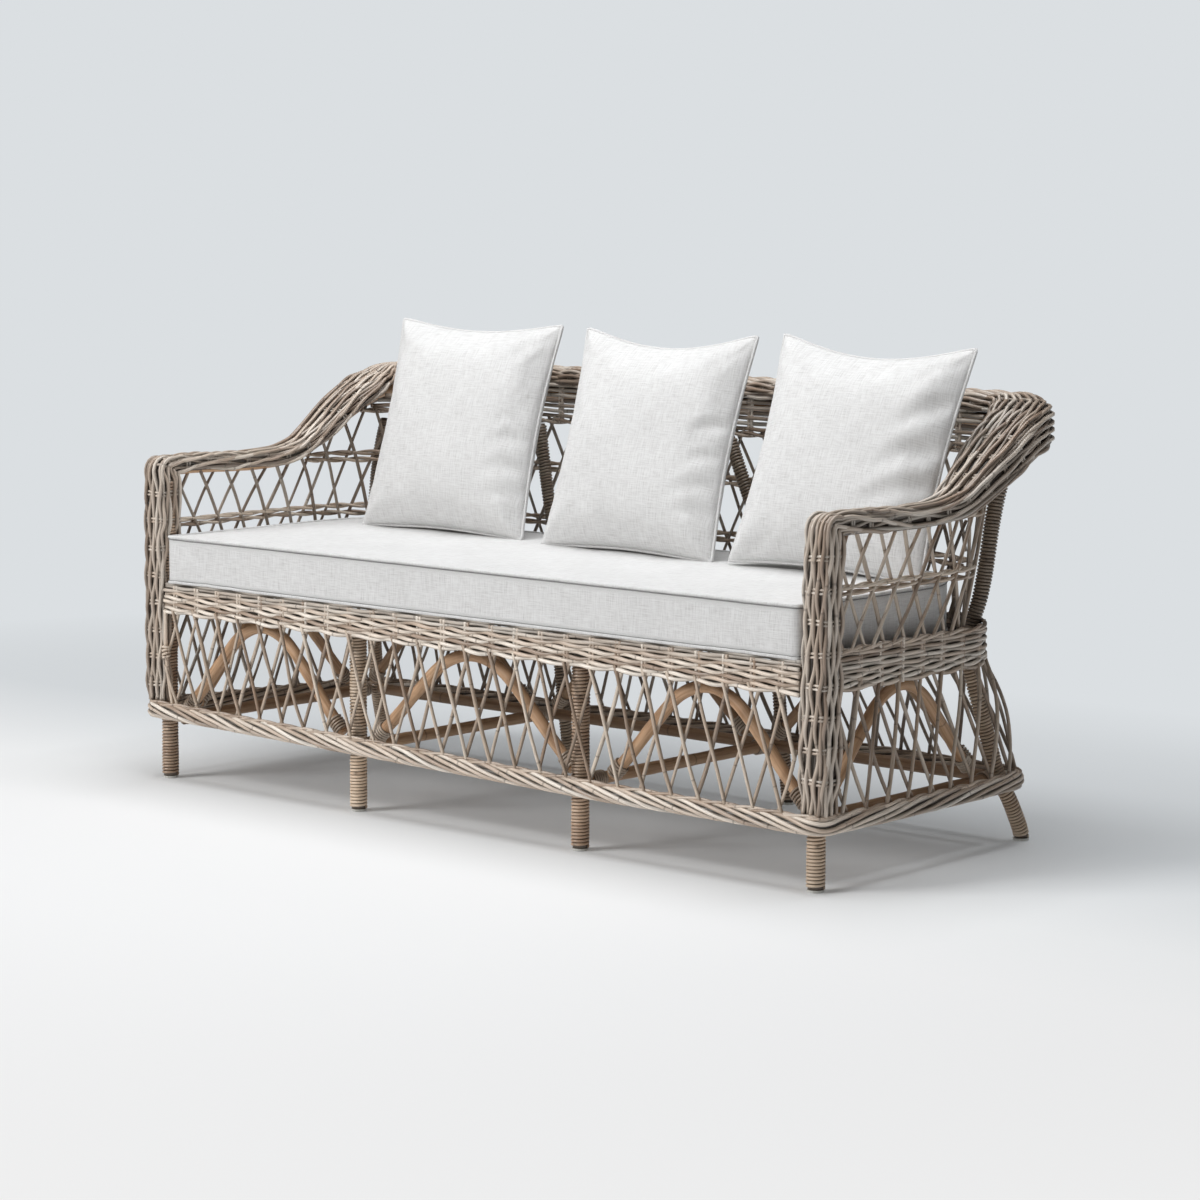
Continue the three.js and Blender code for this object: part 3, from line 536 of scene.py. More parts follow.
def spread(P, c):
    """Widens the columns, c is 1 on a column. The right one reaches further in below the seat, the left one further out."""
    P = P.copy()
    ax, z, right = np.abs(P[:, 0]), P[:, 2], P[:, 0] > 0
    xi = np.clip((ax - 0.880) / 0.060, -0.1, 1.1)
    low = 0.0055 * (1 - sstep(0.385, 0.435, z)) + 0.0025 * (1 - sstep(0.56, 0.66, z))
    # above the cushion the inner side goes round the leg
    over = 0.0055 * sstep(0.548, 0.566, z) * (1 - sstep(0.655, 0.69, z))
    ax = ax + c * (np.where(right, 0.001, 0.005) * xi - np.where(right, low, over) * (1 - xi))
    P[:, 0] = np.where(right, ax, -ax)
    return P


def build_rim():
    N = len(RIM)
    rng = np.random.default_rng(11)
    D, M = RIM_D, RIM_M
    per = RIM_HI + RIM_HO - 2 * RIM_RHO + math.pi * RIM_RHO + RIM_W - 2 * RIM_RHO
    p = 0.060
    # 17 strands run from foot to foot; 12 more start on the arms where the rim gets wider
    starts = {1: 0.46, 2: 0.22, 4: 0.34, 5: 0.52, 6: 0.26, 8: 0.40, 9: 0.56, 10: 0.30, 11: 0.48, 12: 0.24, 14: 0.36, 15: 0.54}
    rows = []
    for b in range(17):
        rows.append((b, None))
        if b in starts:
            rows.append((b, starts[b]))
    J = len(rows)
    pres = np.stack([np.ones(N) if d0 is None else sstep(d0, d0 + 0.16, D) for _, d0 in rows])
    cum = np.cumsum(pres, 0)
    rank = cum - pres / 2
    w0 = rank / cum[-1]
    pitch = per / cum[-1]
    wc = 1 - sstep(-0.035, 0.05, D)
    wr = sstep(0.56, 0.74, D)
    wa = 1 - wc - wr
    # how far the strands lean: towards the outer side on the way back
    parts = {"rim_weave": Cane(11)}
    cn = parts["rim_weave"]
    for j, (b, d0) in enumerate(rows):
        jit = wobble(RIM_S, rng, 1, (0.23, 0.55), 0.22)[0]
        fc = math.pi * (M / p + b) + jit * 0.5
        fr = math.pi * (M / p + j) + jit * 0.6
        fa = TAU * ((D - D_MID) / (2.6 * p) - (rank[j] - 0.5) / 3) + jit * 1.6
        out = wc * 0.0032 * np.cos(fc) + wa * 0.0047 * np.cos(fa) + wr * 0.0048 * np.cos(fr)
        side = np.clip(-M / 0.7, -1, 1)
        lat = wc * 0.0016 * np.sin(fc) + wa * 0.60 * pitch * np.sin(fa) + wr * 0.0034 * np.sin(fr) * side
        lat = lat + wobble(RIM_S, rng, 1, (0.08, 0.17, 0.39), 0.0014)[0] * (1 + 0.5 * wc)
        r = 0.0042 + 0.0001 * wr + wobble(RIM_S, rng, 1, (0.3, 0.7), 0.00022)[0] + rng.normal(0, 0.00012)
        w = np.clip(w0[j] + lat / per, 0.004, 0.996)
        o = BASE_OFF + out - (1 - pres[j]) * 0.007
        # feet of the columns draw in towards the braid
        P, n = on_rim(w, o)
        P = spread(P, _col)
        k = sstep(-0.47, -0.52, D)
        P = P + (RIM * [1, 0, 0] + [0, -0.004, 0] - P) * [1, 1, 0] * (0.16 * k)[:, None]
        # painted shade: deeper strands darker, the columns darker still, and the arms and roll darker towards the
        # right, away from the key light
        shade = np.clip(0.95 + out / 0.004 * 0.10, 0.72, 1.06) * (1 - COL_PAINTED_SHADE * wc)
        shade = shade * (1 - (1 - wc) * np.interp(RIM[:, 0], (-0.9, 0, 0.9), (0.12, 0.20, 0.26)))
        ok = pres[j] > 0.03
        if b <= 2 and d0 is None:
            ok = ok & (D > -0.225)          # the inner side is open below the seat
        # the mask may leave one stretch only
        i = np.where(ok)[0]
        i = np.arange(i[0], i[-1] + 1)
        i = i[forward(P[i], RIM_T[i])]
        cn.add(P[i], r[i], 6, tone=rng.uniform(0.02, 0.98), shade=shade[i], normal=n[i], edge=0.50)
    cn.piece("rim_weave", cane_rim, "frame",
             ("corner_column_left", "corner_column_right", "arm_rim_left", "arm_rim_right", "back_top_roll"), "weave")

    # inner layer, cross pairs and the underside
    cn = Cane(12)
    rng = cn.rng
    # painted shade: the inner layer is drawn nearly black, as the shade seen through the gaps
    K2 = 24
    for k in range(K2):
        w = np.full(N, (k + 0.5) / K2)
        P, n = on_rim(w, BASE_OFF - 0.0086 + wobble(RIM_S, rng, 1, (0.2, 0.5), 0.0006)[0])
        P = spread(P, _col)
        ok = np.where((D > (-0.20 if (k + 0.5) / K2 < 0.22 else -9)))[0]
        ok = ok[forward(P[ok], RIM_T[ok])][::2]
        cn.add(P[ok], 0.0046, 5, shade=0.20)
    # cross pairs
    for q in np.arange(math.ceil((RIM_M[0] + 0.02) / p), math.floor((RIM_M[-1] - 0.02) / p) + 1) * p:
        for off in (-0.0036, 0.0036):
            f = np.interp(q + off + rng.normal(0, 0.0008), RIM_M, np.arange(N))
            i = int(min(max(round(f), 0), N - 1))
            lo = 0.24 if D[i] < -0.225 else 0.004
            m = 30
            ww = np.linspace(lo, 0.996, m)
            ii = np.full(m, i)
            P, n = on_rim(ww, np.full(m, BASE_OFF[i] - 0.0012 - 0.0016 * (1 - _col[i])) + rng.normal(0, 0.0002, m), ii)
            t = RIM_T[i]
            P = P + t * (q + off - RIM_M[i]) + t * 0.0012 * np.sin(ww * 9 + q * 40)[:, None]
            P = spread(P, _col[i])
            # the pairs catch the light in the middle of a column's front only
            mid = 0.55 + 0.45 * _col[i] * np.exp(-((ww - 0.506) / 0.10) ** 4)
            cn.add(P, 0.0029, 6, tone=rng.uniform(0.45, 1.0), shade=mid, normal=n, edge=0.35)
    # closed underside of arms and roll, beside the peeled pole, painted darker as shade
    sel = np.where(RIM_D > 0.055)[0]
    seg = RIM[sel]
    for u in (-0.90, -0.66, -0.42, 0.42, 0.58, 0.74, 0.90):
        A, H = RIM_W[sel] / 2, RIM_H[sel]
        x = np.sign(u) * (0.0155 + (abs(u) - 0.34) / 0.60 * np.maximum(A - 0.021, 0.004))
        low = RIM_HI[sel] if u < 0 else RIM_HO[sel]
        y = H / 2 - low + 0.0062
        wv = wobble(RIM_S[sel], rng, 1, (0.12, 0.3), 0.0009)[0]
        cn.add(seg + RIM_L[sel] * (x + wv)[:, None] + RIM_O[sel] * y[:, None], 0.0040, 7, shade=0.62, normal=-RIM_O[sel], edge=0.4)
    cn.piece("rim_inner", cane, "frame", ("corner_column_left", "corner_column_right", "arm_rim_left", "arm_rim_right", "back_top_roll"), "weave")


build_rim()


# ------------------------------------------------------------------ plan curves at seat height
SIDE_X, REAR_Y, CORNER_R = 905.0, 660.0, 175.0


def corner(z, a0, a1, n, off=0.0):
    a = np.radians(np.linspace(a0, a1, n + 1))
    return np.stack([SIDE_X - CORNER_R + (CORNER_R + off) * np.cos(a), REAR_Y - CORNER_R + (CORNER_R + off) * np.sin(a), np.full(n + 1, z)], 1)


def plan_loop(z):
    """From behind the right column round the back to behind the left column, millimetres."""
    r = np.vstack([[(SIDE_X, 28, z)], corner(z, 0, 90, 24)])
    return np.vstack([r, mirror(r)[::-1]])


def outward(P):
    """Horizontal normal of a plan curve that runs anticlockwise seen from above."""
    T = unit(np.gradient(P, axis=0))
    return unit(np.stack([T[:, 1], -T[:, 0], np.zeros(len(P))], 1))


UP = np.array([0, 0, 1.0])


def weave_rows(cn, base, nrm, zs, p, r, amp, phase=0.0, shade=1.05, edge=0.62, cut=None):
    """Plain weave: one strand a row, over and under pairs of stakes every p."""
    s = arclen(base)
    for k, z0 in enumerate(zs):
        jit = wobble(s, cn.rng, 1, (0.23, 0.6), 0.22)[0]
        d = amp * np.cos(math.pi * (s / p + k + phase) + jit)
        z = z0 / 1000 + wobble(s, cn.rng, 1, (0.08, 0.21), 0.0007)[0]
        P = base + nrm * d[:, None] + UP * z[:, None]
        i = slice(None) if cut is None else slice(*cut(z0))
        rr = r + wobble(s, cn.rng, 1, (0.3, 0.8), 0.0002)[0]
        cn.add(P[i], rr[i], 7, shade=np.clip(shade * (0.93 + 0.12 * d / amp), 0.4, 1.06)[i], normal=nrm[i], edge=edge)


def twill_rows(cn, base, nrm, zs, p3, r, amp, sweep, turn=1, shade=1.10, edge=0.66, phase=0.0):
    """Rows that pass over two stakes and under one, each a stake further than the last; long slanting floats."""
    s = arclen(base)
    for k, z0 in enumerate(zs):
        ph = TAU * (s / p3 - turn * k / 3 + phase) + wobble(s, cn.rng, 1, (0.25, 0.7), 0.28)[0]
        d = amp * np.cos(ph)
        z = z0 / 1000 - turn * sweep * np.sin(ph) + wobble(s, cn.rng, 1, (0.08, 0.21), 0.0006)[0]
        P = base + nrm * d[:, None] + UP * z[:, None]
        cn.add(P, r + wobble(s, cn.rng, 1, (0.3, 0.8), 0.0002)[0], 7, shade=np.clip(shade * (0.92 + 0.14 * d / amp), 0.4, 1.16), normal=nrm, edge=edge)


def rope_rows(cn, base, nrm, zs, p, r, amp, h, strands=3, turn=1, shade=1.0, phase=0.0, edge=0.45):
    """Wale: each row is strands turning round each other along the stakes."""
    s = arclen(base)[None]
    for n, z0 in enumerate(zs):
        m = np.arange(strands)[:, None]
        jit = wobble(s, cn.rng, strands, (0.3, 0.7), 0.22)
        ph = TAU * (s / (p * strands) + m / strands + n * 0.37 + phase) + jit
        d = amp * np.cos(ph)
        z = z0 / 1000 + turn * h * np.sin(ph)
        P = base[None] + nrm[None] * d[..., None] + UP * z[..., None]
        cn.add(P, r + wobble(s, cn.rng, strands, (0.3, 0.8), 0.0002), 7, shade=np.clip(shade * (0.9 + 0.14 * d / amp), 0.4, 1.06),
               normal=np.broadcast_to(nrm[None], P.shape), edge=edge)


def stakes(cn, base, nrm, z0, z1, p, r, gap=0.0042, shade=0.9, phase=0.0):
    s = arclen(base)
    for q in np.arange(p * (0.5 + phase), s[-1], p):
        for off in (-gap, gap):
            x = q + off
            b = np.array([np.interp(x, s, base[:, i]) for i in range(3)])
            n = unit(np.array([np.interp(x, s, nrm[:, i]) for i in range(3)]))
            t = np.linspace(0, 1, 9)[:, None]
            P = b + UP * (z0 + (z1 - z0) * t) / 1000 + n * 0.0006 * np.sin(7 * t + q * 9)
            cn.add(P, r, 6, shade=shade)


# ------------------------------------------------------------------ seat bands
def build_bands():
    p = 0.067
    # front: slanting floats below, then plain rows that roll back over the front rail
    cn = Cane(21)
    X = 0.8765
    base = resample(np.array([[-X, -0.0185, 0], [X, -0.0185, 0]]), 230)
    nrm = np.tile([0, -1.0, 0], (230, 1))
    twill_rows(cn, base, nrm, (376.0, 383.8, 391.6, 399.4, 407.2, 415.0), 0.102, 0.0045, 0.0032, 0.0022, 1)
    # painted shadow: the plain rows darker towards the top, under the overhang of the cushion
    weave_rows(cn, base, nrm, (422.8,), p, 0.0041, 0.0034, shade=0.82)
    weave_rows(cn, base + [0, 0.0015, 0], nrm, (430.4,), p, 0.0040, 0.0032, phase=1, shade=0.66)
    weave_rows(cn, base + [0, 0.006, 0], nrm, (436.6,), p, 0.0038, 0.0026, phase=0, shade=0.52)
    stakes(cn, base, nrm, 371, 434, p, 0.0034)
    # painted shade: a lining behind the band drawn nearly black, as the shade seen through the gaps
    for z in (380, 388, 396, 404, 412, 420, 428):
        cn.add(base[::3] + [0, 0.0080, z / 1000], 0.0044, 5, shade=0.16)
    cn.piece("seat_band_front_weave", cane, "frame", ("seat_band_front",), "weave")

    cn = Cane(22)
    loop = resample(plan_loop(0) / 1000, 430)
    nrm = outward(loop)
    nrm = np.where((np.abs(loop[:, 0:1]) > 0.85) & (np.sign(nrm[:, 0:1]) != np.sign(loop[:, 0:1])), -nrm, nrm)
    twill_rows(cn, loop, nrm, (376.0, 384.0, 392.0, 400.0), 0.102, 0.0045, 0.0034, 0.0022, -1, shade=0.92)
    weave_rows(cn, loop, nrm, (408.4, 416.8, 425.2, 433.6, 441.6), p, 0.0043, 0.0036, shade=0.86)
    rope_rows(cn, loop, nrm, (449.5,), p, 0.0035, 0.0030, 0.0036, 2, 1)
    stakes(cn, loop, nrm, 371, 457, p, 0.0034)
    cn.piece("seat_band_back_weave", cane, "frame", ("seat_band_left", "seat_band_right", "seat_band_rear"), "weave")
    cn = Cane(23)
    # painted shade: a lining behind the band drawn nearly black, as the shade seen through the gaps
    for z in np.arange(380, 452, 8.0):
        cn.add((loop - nrm * 0.0066)[::3] + [0, 0, z / 1000], 0.0044, 5, shade=0.16)
    cn.piece("seat_band_shade_lining", cane, "frame", ("seat_band_left", "seat_band_right", "seat_band_rear"), "weave")

    # band of the back, under the roll, carried round the corners to the arm rims
    cn = Cane(24)
    half = curve([(874, 588, 0), (864, 618, 0), (842, 642, 0), (806, 657, 0), (720, 662, 0), (500, 663, 0), (0, 663, 0)], 0.008)
    base = np.vstack([half, mirror(half)[::-1][1:]])
    base = resample(base, 215)
    nrm = -outward(base)
    nrm = np.where((nrm[:, 1:2] > 0), -nrm, nrm)
    s = arclen(base)

    def cut(z0):
        # higher rows stop where they pass under the rim
        d = np.interp(z0, (783, 795, 815, 840), (0.0, 0.018, 0.045, 0.085))
        i = int(np.searchsorted(s, d))
        return i, len(s) - i
    zs = (786.5, 798.0, 809.5, 821.0, 832.5, 844.0, 855.0)
    rope_rows(cn, base, nrm, zs[:1], p, 0.0038, 0.0033, 0.0036, 2, 1)
    weave_rows(cn, base, nrm, zs[1:], p, 0.0044, 0.0040, cut=cut, shade=0.80)
    inner = base[15:-15]
    stakes(cn, inner, nrm[15:-15], 782, 862, p, 0.0034)
    cn.piece("back_band_weave", cane, "frame", ("back_band",), "weave")


build_bands()


# ------------------------------------------------------------------ bottom braid
def braid_ring(N=600):
    X, XR, Y0, Y1, rf, rr = 933.5, 925.0, -24.0, 683.0, 30.0, 64.0
    pts = []

    def arc(cx, cy, r, a0, a1, n=8):
        for a in np.radians(np.linspace(a0, a1, n + 1)):
            pts.append((cx + r * math.cos(a), cy + r * math.sin(a), 0))
    pts.append((0, Y0, 0))
    arc(X - rf, Y0 + rf, rf, -90, 0)
    pts.extend([(X, 330, 0), ((X + XR) / 2, 500, 0)])
    arc(XR - rr, Y1 - rr, rr, 0, 90)
    pts.extend([(700, Y1 + 6, 0), (310, Y1 + 12, 0), (-310, Y1 + 12, 0), (-700, Y1 + 6, 0)])
    arc(-XR + rr, Y1 - rr, rr, 90, 180)
    pts.extend([(-(X + XR) / 2, 500, 0), (-X, 330, 0)])
    arc(-X + rf, Y0 + rf, rf, 180, 270)
    pts.append((0, Y0, 0))
    ring = resample(np.array(pts) / 1000, N + 1)[:-1]
    ring[:, 2] = lift_at(ring[:, 0], ring[:, 1])
    return ring


def build_braid():
    N = 600
    ring = braid_ring(N)
    s = arclen(np.vstack([ring, ring[:1]]))
    total = s[-1]
    s = s[:-1][None]
    T = unit(np.roll(ring, -1, 0) - np.roll(ring, 1, 0))
    nrm = unit(np.stack([T[:, 1], -T[:, 0], np.zeros(N)], 1))
    # the slant turns round at the front corners
    q1 = 0.93
    q2 = total - 0.93
    g = np.where(s < q1, s, np.where(s > q2, s - total, q1 - (s - q1) * (2 * q1) / (q2 - q1)))
    K = 8
    cn = Cane(31)
    k = np.arange(K)[:, None]
    jit = wobble(s, cn.rng, K, (0.25, 0.6), 0.13)
    # the side and the rear lie in the shade of the seat; wobble must close on itself round the ring
    fade = np.clip(np.minimum(s, total - s) / 0.1, 0, 1)
    jit = jit * fade
    ph = TAU * k / K - TAU / 0.38 * g + jit
    a, h = 0.0086, 0.0136
    cx, sz = np.cos(ph), np.sin(ph)
    m = (np.abs(cx) ** 2.5 + np.abs(sz) ** 2.5) ** (1 / 2.5)
    cx, sz = cx / m, sz / m
    P = ring[None] + nrm[None] * (a * cx)[..., None] + UP * (0.1310 + h * sz)[..., None]
    out = nrm[None] * cx[..., None] + UP * (0.7 * sz)[..., None]
    cn.add(P, 0.0044 + wobble(s, cn.rng, K, (0.3, 0.7), 0.0003) * fade, 8, shade=np.clip(1.02 + 0.08 * cx, 0.5, 1.10) * (1 - 0.20 * sstep(0.0, 0.25, ring[:, 1]))[None], loop=True, normal=out, edge=0.62)
    cn.piece("base_braid_weave", cane, "frame", ("base_braid",), "weave")
    # thin twisted pair along the top edge where the rods go in, and a core drawn nearly black as painted shade between
    # the strands
    cn = Cane(32)
    n_turn = round(total / 0.134)
    for j in (0, 1):
        ph = TAU * n_turn * s[0] / total + math.pi * j
        P = ring + nrm * (0.0052 * np.cos(ph))[:, None] + UP * (0.1468 + 0.0028 * np.sin(ph))[:, None]
        cn.add(P, 0.0033, 7, shade=0.98, loop=True, normal=nrm, edge=0.4)
    for off, z, r in ((0.0, 0.131, 0.0070), (0, 0.1390, 0.0056), (0, 0.1230, 0.0056)):
        cn.add(ring + nrm * off + [0, 0, z], r, 6, shade=0.16, loop=True)
    cn.piece("base_braid_core", cane, "frame", ("base_braid",), "weave")


build_braid()


# ------------------------------------------------------------------ lattices
class Sheet:
    """Ruled sheet between a lower and an upper curve, with a bulge. u is metres along, v is 0..1 up."""

    def __init__(self, low, up, flip=1.0, bulge=None, lift=False):
        n = 400
        self.L, self.U = resample(low, n), resample(up, n)
        if lift:
            self.L[:, 2] += lift_at(self.L[:, 0], self.L[:, 1])
        self.len = (arclen(self.L)[-1] + arclen(self.U)[-1]) / 2
        self.flip, self.bulge = flip, bulge

    def at(self, u, v, out=0.0):
        u, v = np.asarray(u, float), np.asarray(v, float)
        f = np.clip(u / self.len, 0, 1) * (len(self.L) - 1)
        i = np.minimum(f.astype(int), len(self.L) - 2)
        w = (f - i)[..., None]
        a = self.L[i] * (1 - w) + self.L[i + 1] * w
        b = self.U[i] * (1 - w) + self.U[i + 1] * w
        t = unit(self.L[i + 1] - self.L[i] + self.U[i + 1] - self.U[i])
        n = unit(np.cross(t, b - a)) * self.flip
        o = np.asarray(out, float) + np.zeros_like(v)
        if self.bulge is not None:
            o = o + self.bulge(u / self.len, v)
        return a + (b - a) * v[..., None] + n * o[..., None]

    def height(self):
        return float(np.linalg.norm(self.U - self.L, axis=1).mean())


def rods(cn, sheet, pitch, shift, r=0.0038, lift=0.0043, tuck=0.03, first=0.5, swap=1, v0=0.0, v1=1.0, second=None, shade=0.93):
    """Two crossing families of rods. shift is how many pitches a rod moves over the full height."""
    n = int(round(sheet.len / pitch))
    p = sheet.len / n
    reach = shift * p
    for fam in (1, -1):
        start = (first if fam > 0 or second is None else second) * p
        k = -int(math.ceil(shift)) - 1
        while True:
            u0 = start + k * p
            k += 1
            if u0 > sheet.len + reach + p:
                break
            j = cn.rng.normal(0, 0.0022, 2)
            a, b = (u0 + j[0], u0 + reach + j[1]) if fam > 0 else (u0 + reach + j[0], u0 + j[1])
            # clip to the sheet
            t0, t1 = v0 - tuck, v1 + tuck
            lo, hi = 0.004, sheet.len - 0.004
            if abs(b - a) > 1e-6:
                ta, tb = sorted(((lo - a) / (b - a), (hi - a) / (b - a)))
                t0, t1 = max(t0, ta), min(t1, tb)
            elif not lo <= a <= hi:
                continue
            if t1 - t0 < 0.12:
                continue
            v = np.linspace(t0, t1, max(5, int(16 * (t1 - t0))))
            u = a + (b - a) * v
            bend = cn.rng.normal(0, 0.0028)
            bend2 = cn.rng.normal(0, 0.0016)
            u = u + bend * np.sin(math.pi * np.clip(v, 0, 1)) + bend2 * np.sin(TAU * np.clip(v, 0, 1))
            out = fam * swap * lift * np.sin(math.pi * np.clip(v, 0.06, 0.94)) ** 0.35 + cn.rng.normal(0, 0.0004)
            P = sheet.at(u, v, out)
            rr = r * (1 + cn.rng.normal(0, 0.07)) * (1 + 0.05 * np.cos(v * 3 + u0 * 50))
            cn.add(P, rr, 8, tone=cn.rng.uniform(0, 1), shade=shade, normal=sheet.at(u, v, np.asarray(out) + 0.01) - P, edge=0.42)


def fitch(cn, sheet, vfun, p, r=0.0035, amp=0.0054, h=0.0028, rows=(0.0, -0.0135), u0=0.0, u1=None, n=None, shade=0.95):
    """Rows of twisted pairs across a lattice."""
    u1 = sheet.len if u1 is None else u1
    n = n or int((u1 - u0) / 0.0075)
    u = np.linspace(u0, u1, n)
    for j, dz in enumerate(rows):
        for m in (0, 1):
            ph = math.pi * (u / p) + math.pi * m + j * 0.9 + wobble(u, cn.rng, 1, (0.4, 0.9), 0.3)[0]
            v = vfun(u) + (dz + h * np.sin(ph)) / sheet.height()
            P = sheet.at(u, v, amp * np.cos(ph))
            cn.add(P, r, 7, shade=shade)


ZB, ZT = 146.0, 380.0


def build_lattices():
    pitch = 0.068
    # front skirt
    cn = Cane(41)
    low = curve([(-872, -22, ZB), (872, -22, ZB)])
    up = curve([(-872, -19, ZT), (872, -19, ZT)])
    sh = Sheet(low, up, flip=1.0, lift=True)
    rods(cn, sh, pitch, 1.17, swap=-1, first=0.35)
    # the upright rod beside the left column, with the cane that was tied round it
    P = curve([(-873, -22, 380), (-872, -22, 286), (-864, -22.5, 225), (-851, -22, 162)], 0.012)
    cn.add(P, 0.0042, 8, tone=0.7)
    cn.piece("lattice_skirt_front_rods", cane_rod, "frame", ("lattice_skirt_front",), "lattice")

    # side and rear skirts, one sheet round the back
    def bulge(u, v):
        at = np.minimum(np.abs(u - 0.213), np.abs(u - 0.787))
        return 0.011 * np.sin(math.pi * np.clip(v, 0, 1)) * (1 - sstep(0.02, 0.10, at))
    half = np.array([(930, 30, ZB), (930, 330, ZB), (922, 612, ZB), (916, 640, ZB), (903, 662, ZB), (888, 676, ZB), (700, 690, ZB),
                     (310, 700, ZB)]) / 1000
    low = np.vstack([half, mirror(half)[::-1]])
    up = plan_loop(ZT) / 1000
    cn = Cane(43)
    sh = Sheet(low, up, flip=1.0, bulge=bulge, lift=True)
    rods(cn, sh, pitch, 1.24, swap=1, first=0.2, shade=0.80)
    cn.piece("lattice_skirt_rods", cane_rod, "frame", ("lattice_skirt_left", "lattice_skirt_right", "lattice_skirt_rear"), "lattice")

    # sides above the seat
    zl = 452.0
    for side, s in (("right", 1), ("left", -1)):
        low = np.array([(905, 28, zl), (905, 400, zl), (894, 470, zl), (862, 530, zl), (832, 560, zl), (800, 583, zl)]) / 1000
        up = curve([(905, 28, 676), (905, 150, 675), (905, 300, 671), (904, 380, 678), (902, 440, 700), (898, 500, 733), (888, 556, 766),
                    (872, 596, 786), (850, 632, 788), (806, 655, 788)])
        if s < 0:
            low, up = mirror(low), mirror(up)
        cn = Cane(47 + s)
        sh = Sheet(low, up, flip=s)
        rods(cn, sh, pitch, 1.62, swap=1, first=0.1, lift=0.0042, shade=0.86 - 0.06 * s)
        H = np.linalg.norm(sh.U - sh.L, axis=1)
        uu = np.linspace(0, sh.len, len(H))
        vf = lambda u, z: (z - zl) / 1000 / np.interp(u, uu, sh.U[:, 2] - sh.L[:, 2])
        fitch(cn, sh, lambda u: vf(u, 570), pitch)
        # the upper wale starts where the arm has risen
        st = float(np.interp(0.702, sh.U[:, 2], uu)) if sh.U[-1, 2] > 0.702 else sh.len
        fitch(cn, sh, lambda u: vf(u, 690), pitch, u0=st, rows=(0.0, -0.0125))
        cn.piece(f"lattice_side_{side}_rods", cane_rod, "frame", (f"lattice_side_{side}",), "lattice")

    # back
    cn = Cane(51)
    low = curve([(800, 583, zl), (740, 627, zl), (690, 651, zl), (640, 658, zl), (-640, 658, zl), (-690, 651, zl), (-740, 627, zl), (-800, 583, zl)])
    up = curve([(806, 655, 788), (640, 662, 788), (-640, 662, 788), (-806, 655, 788)])
    sh = Sheet(low, up, flip=1.0)
    rods(cn, sh, pitch, 2.3, swap=1, first=0.1, lift=0.0042, shade=0.75)
    H = (788 - zl)
    fitch(cn, sh, lambda u: np.full_like(u, (570 - zl) / H), pitch)
    fitch(cn, sh, lambda u: np.full_like(u, (690 - zl) / H), pitch, rows=(0.0, -0.0125))
    cn.piece("lattice_back_rods", cane_rod, "frame", ("lattice_back",), "lattice")


build_lattices()


# ------------------------------------------------------------------ cane wound round a pole
def winding(cn, P, a, b, R, wire=0.0031, pitch=0.0066, shade=1.0, edge=0.5, tone=None, top=None, high=1.0):
    """A wire of cane wound round the path P from arc length a to b, outside radius R."""
    P = np.asarray(P, float)
    s = arclen(P)
    turns = (b - a) / pitch
    n = int(turns * 14)
    t = np.linspace(a, b, n)
    t = t + 0.10 * pitch * np.sin(t * 61) * (t > a) * (t < b)
    C = np.stack([np.interp(t, s, P[:, i]) for i in range(3)], 1)
    T = unit(np.stack([np.interp(t, s, g) for g in unit(np.gradient(P, axis=0)).T], 1))
    ref = np.array([0.871, 0.434, 0.229])
    U = unit(ref - (T @ ref)[:, None] * T)
    W = np.cross(T, U)
    f = TAU * np.linspace(0, turns, n)
    out = np.cos(f)[:, None] * U + np.sin(f)[:, None] * W
    rr = (R - wire) * (1 + 0.012 * np.sin(t * 47))
    # painted shade: top darkens the wire above the braid and high above the seat band
    sh = shade if top is None else shade * (1 - (1 - top) * sstep(0.10, 0.17, C[:, 2])) * (1 - (1 - high) * sstep(0.38, 0.46, C[:, 2]))
    cn.add(C + out * rr[:, None], wire, 6, shade=sh, normal=out, edge=edge, tone=cn.rng.uniform(0.2, 0.9) if tone is None else tone)


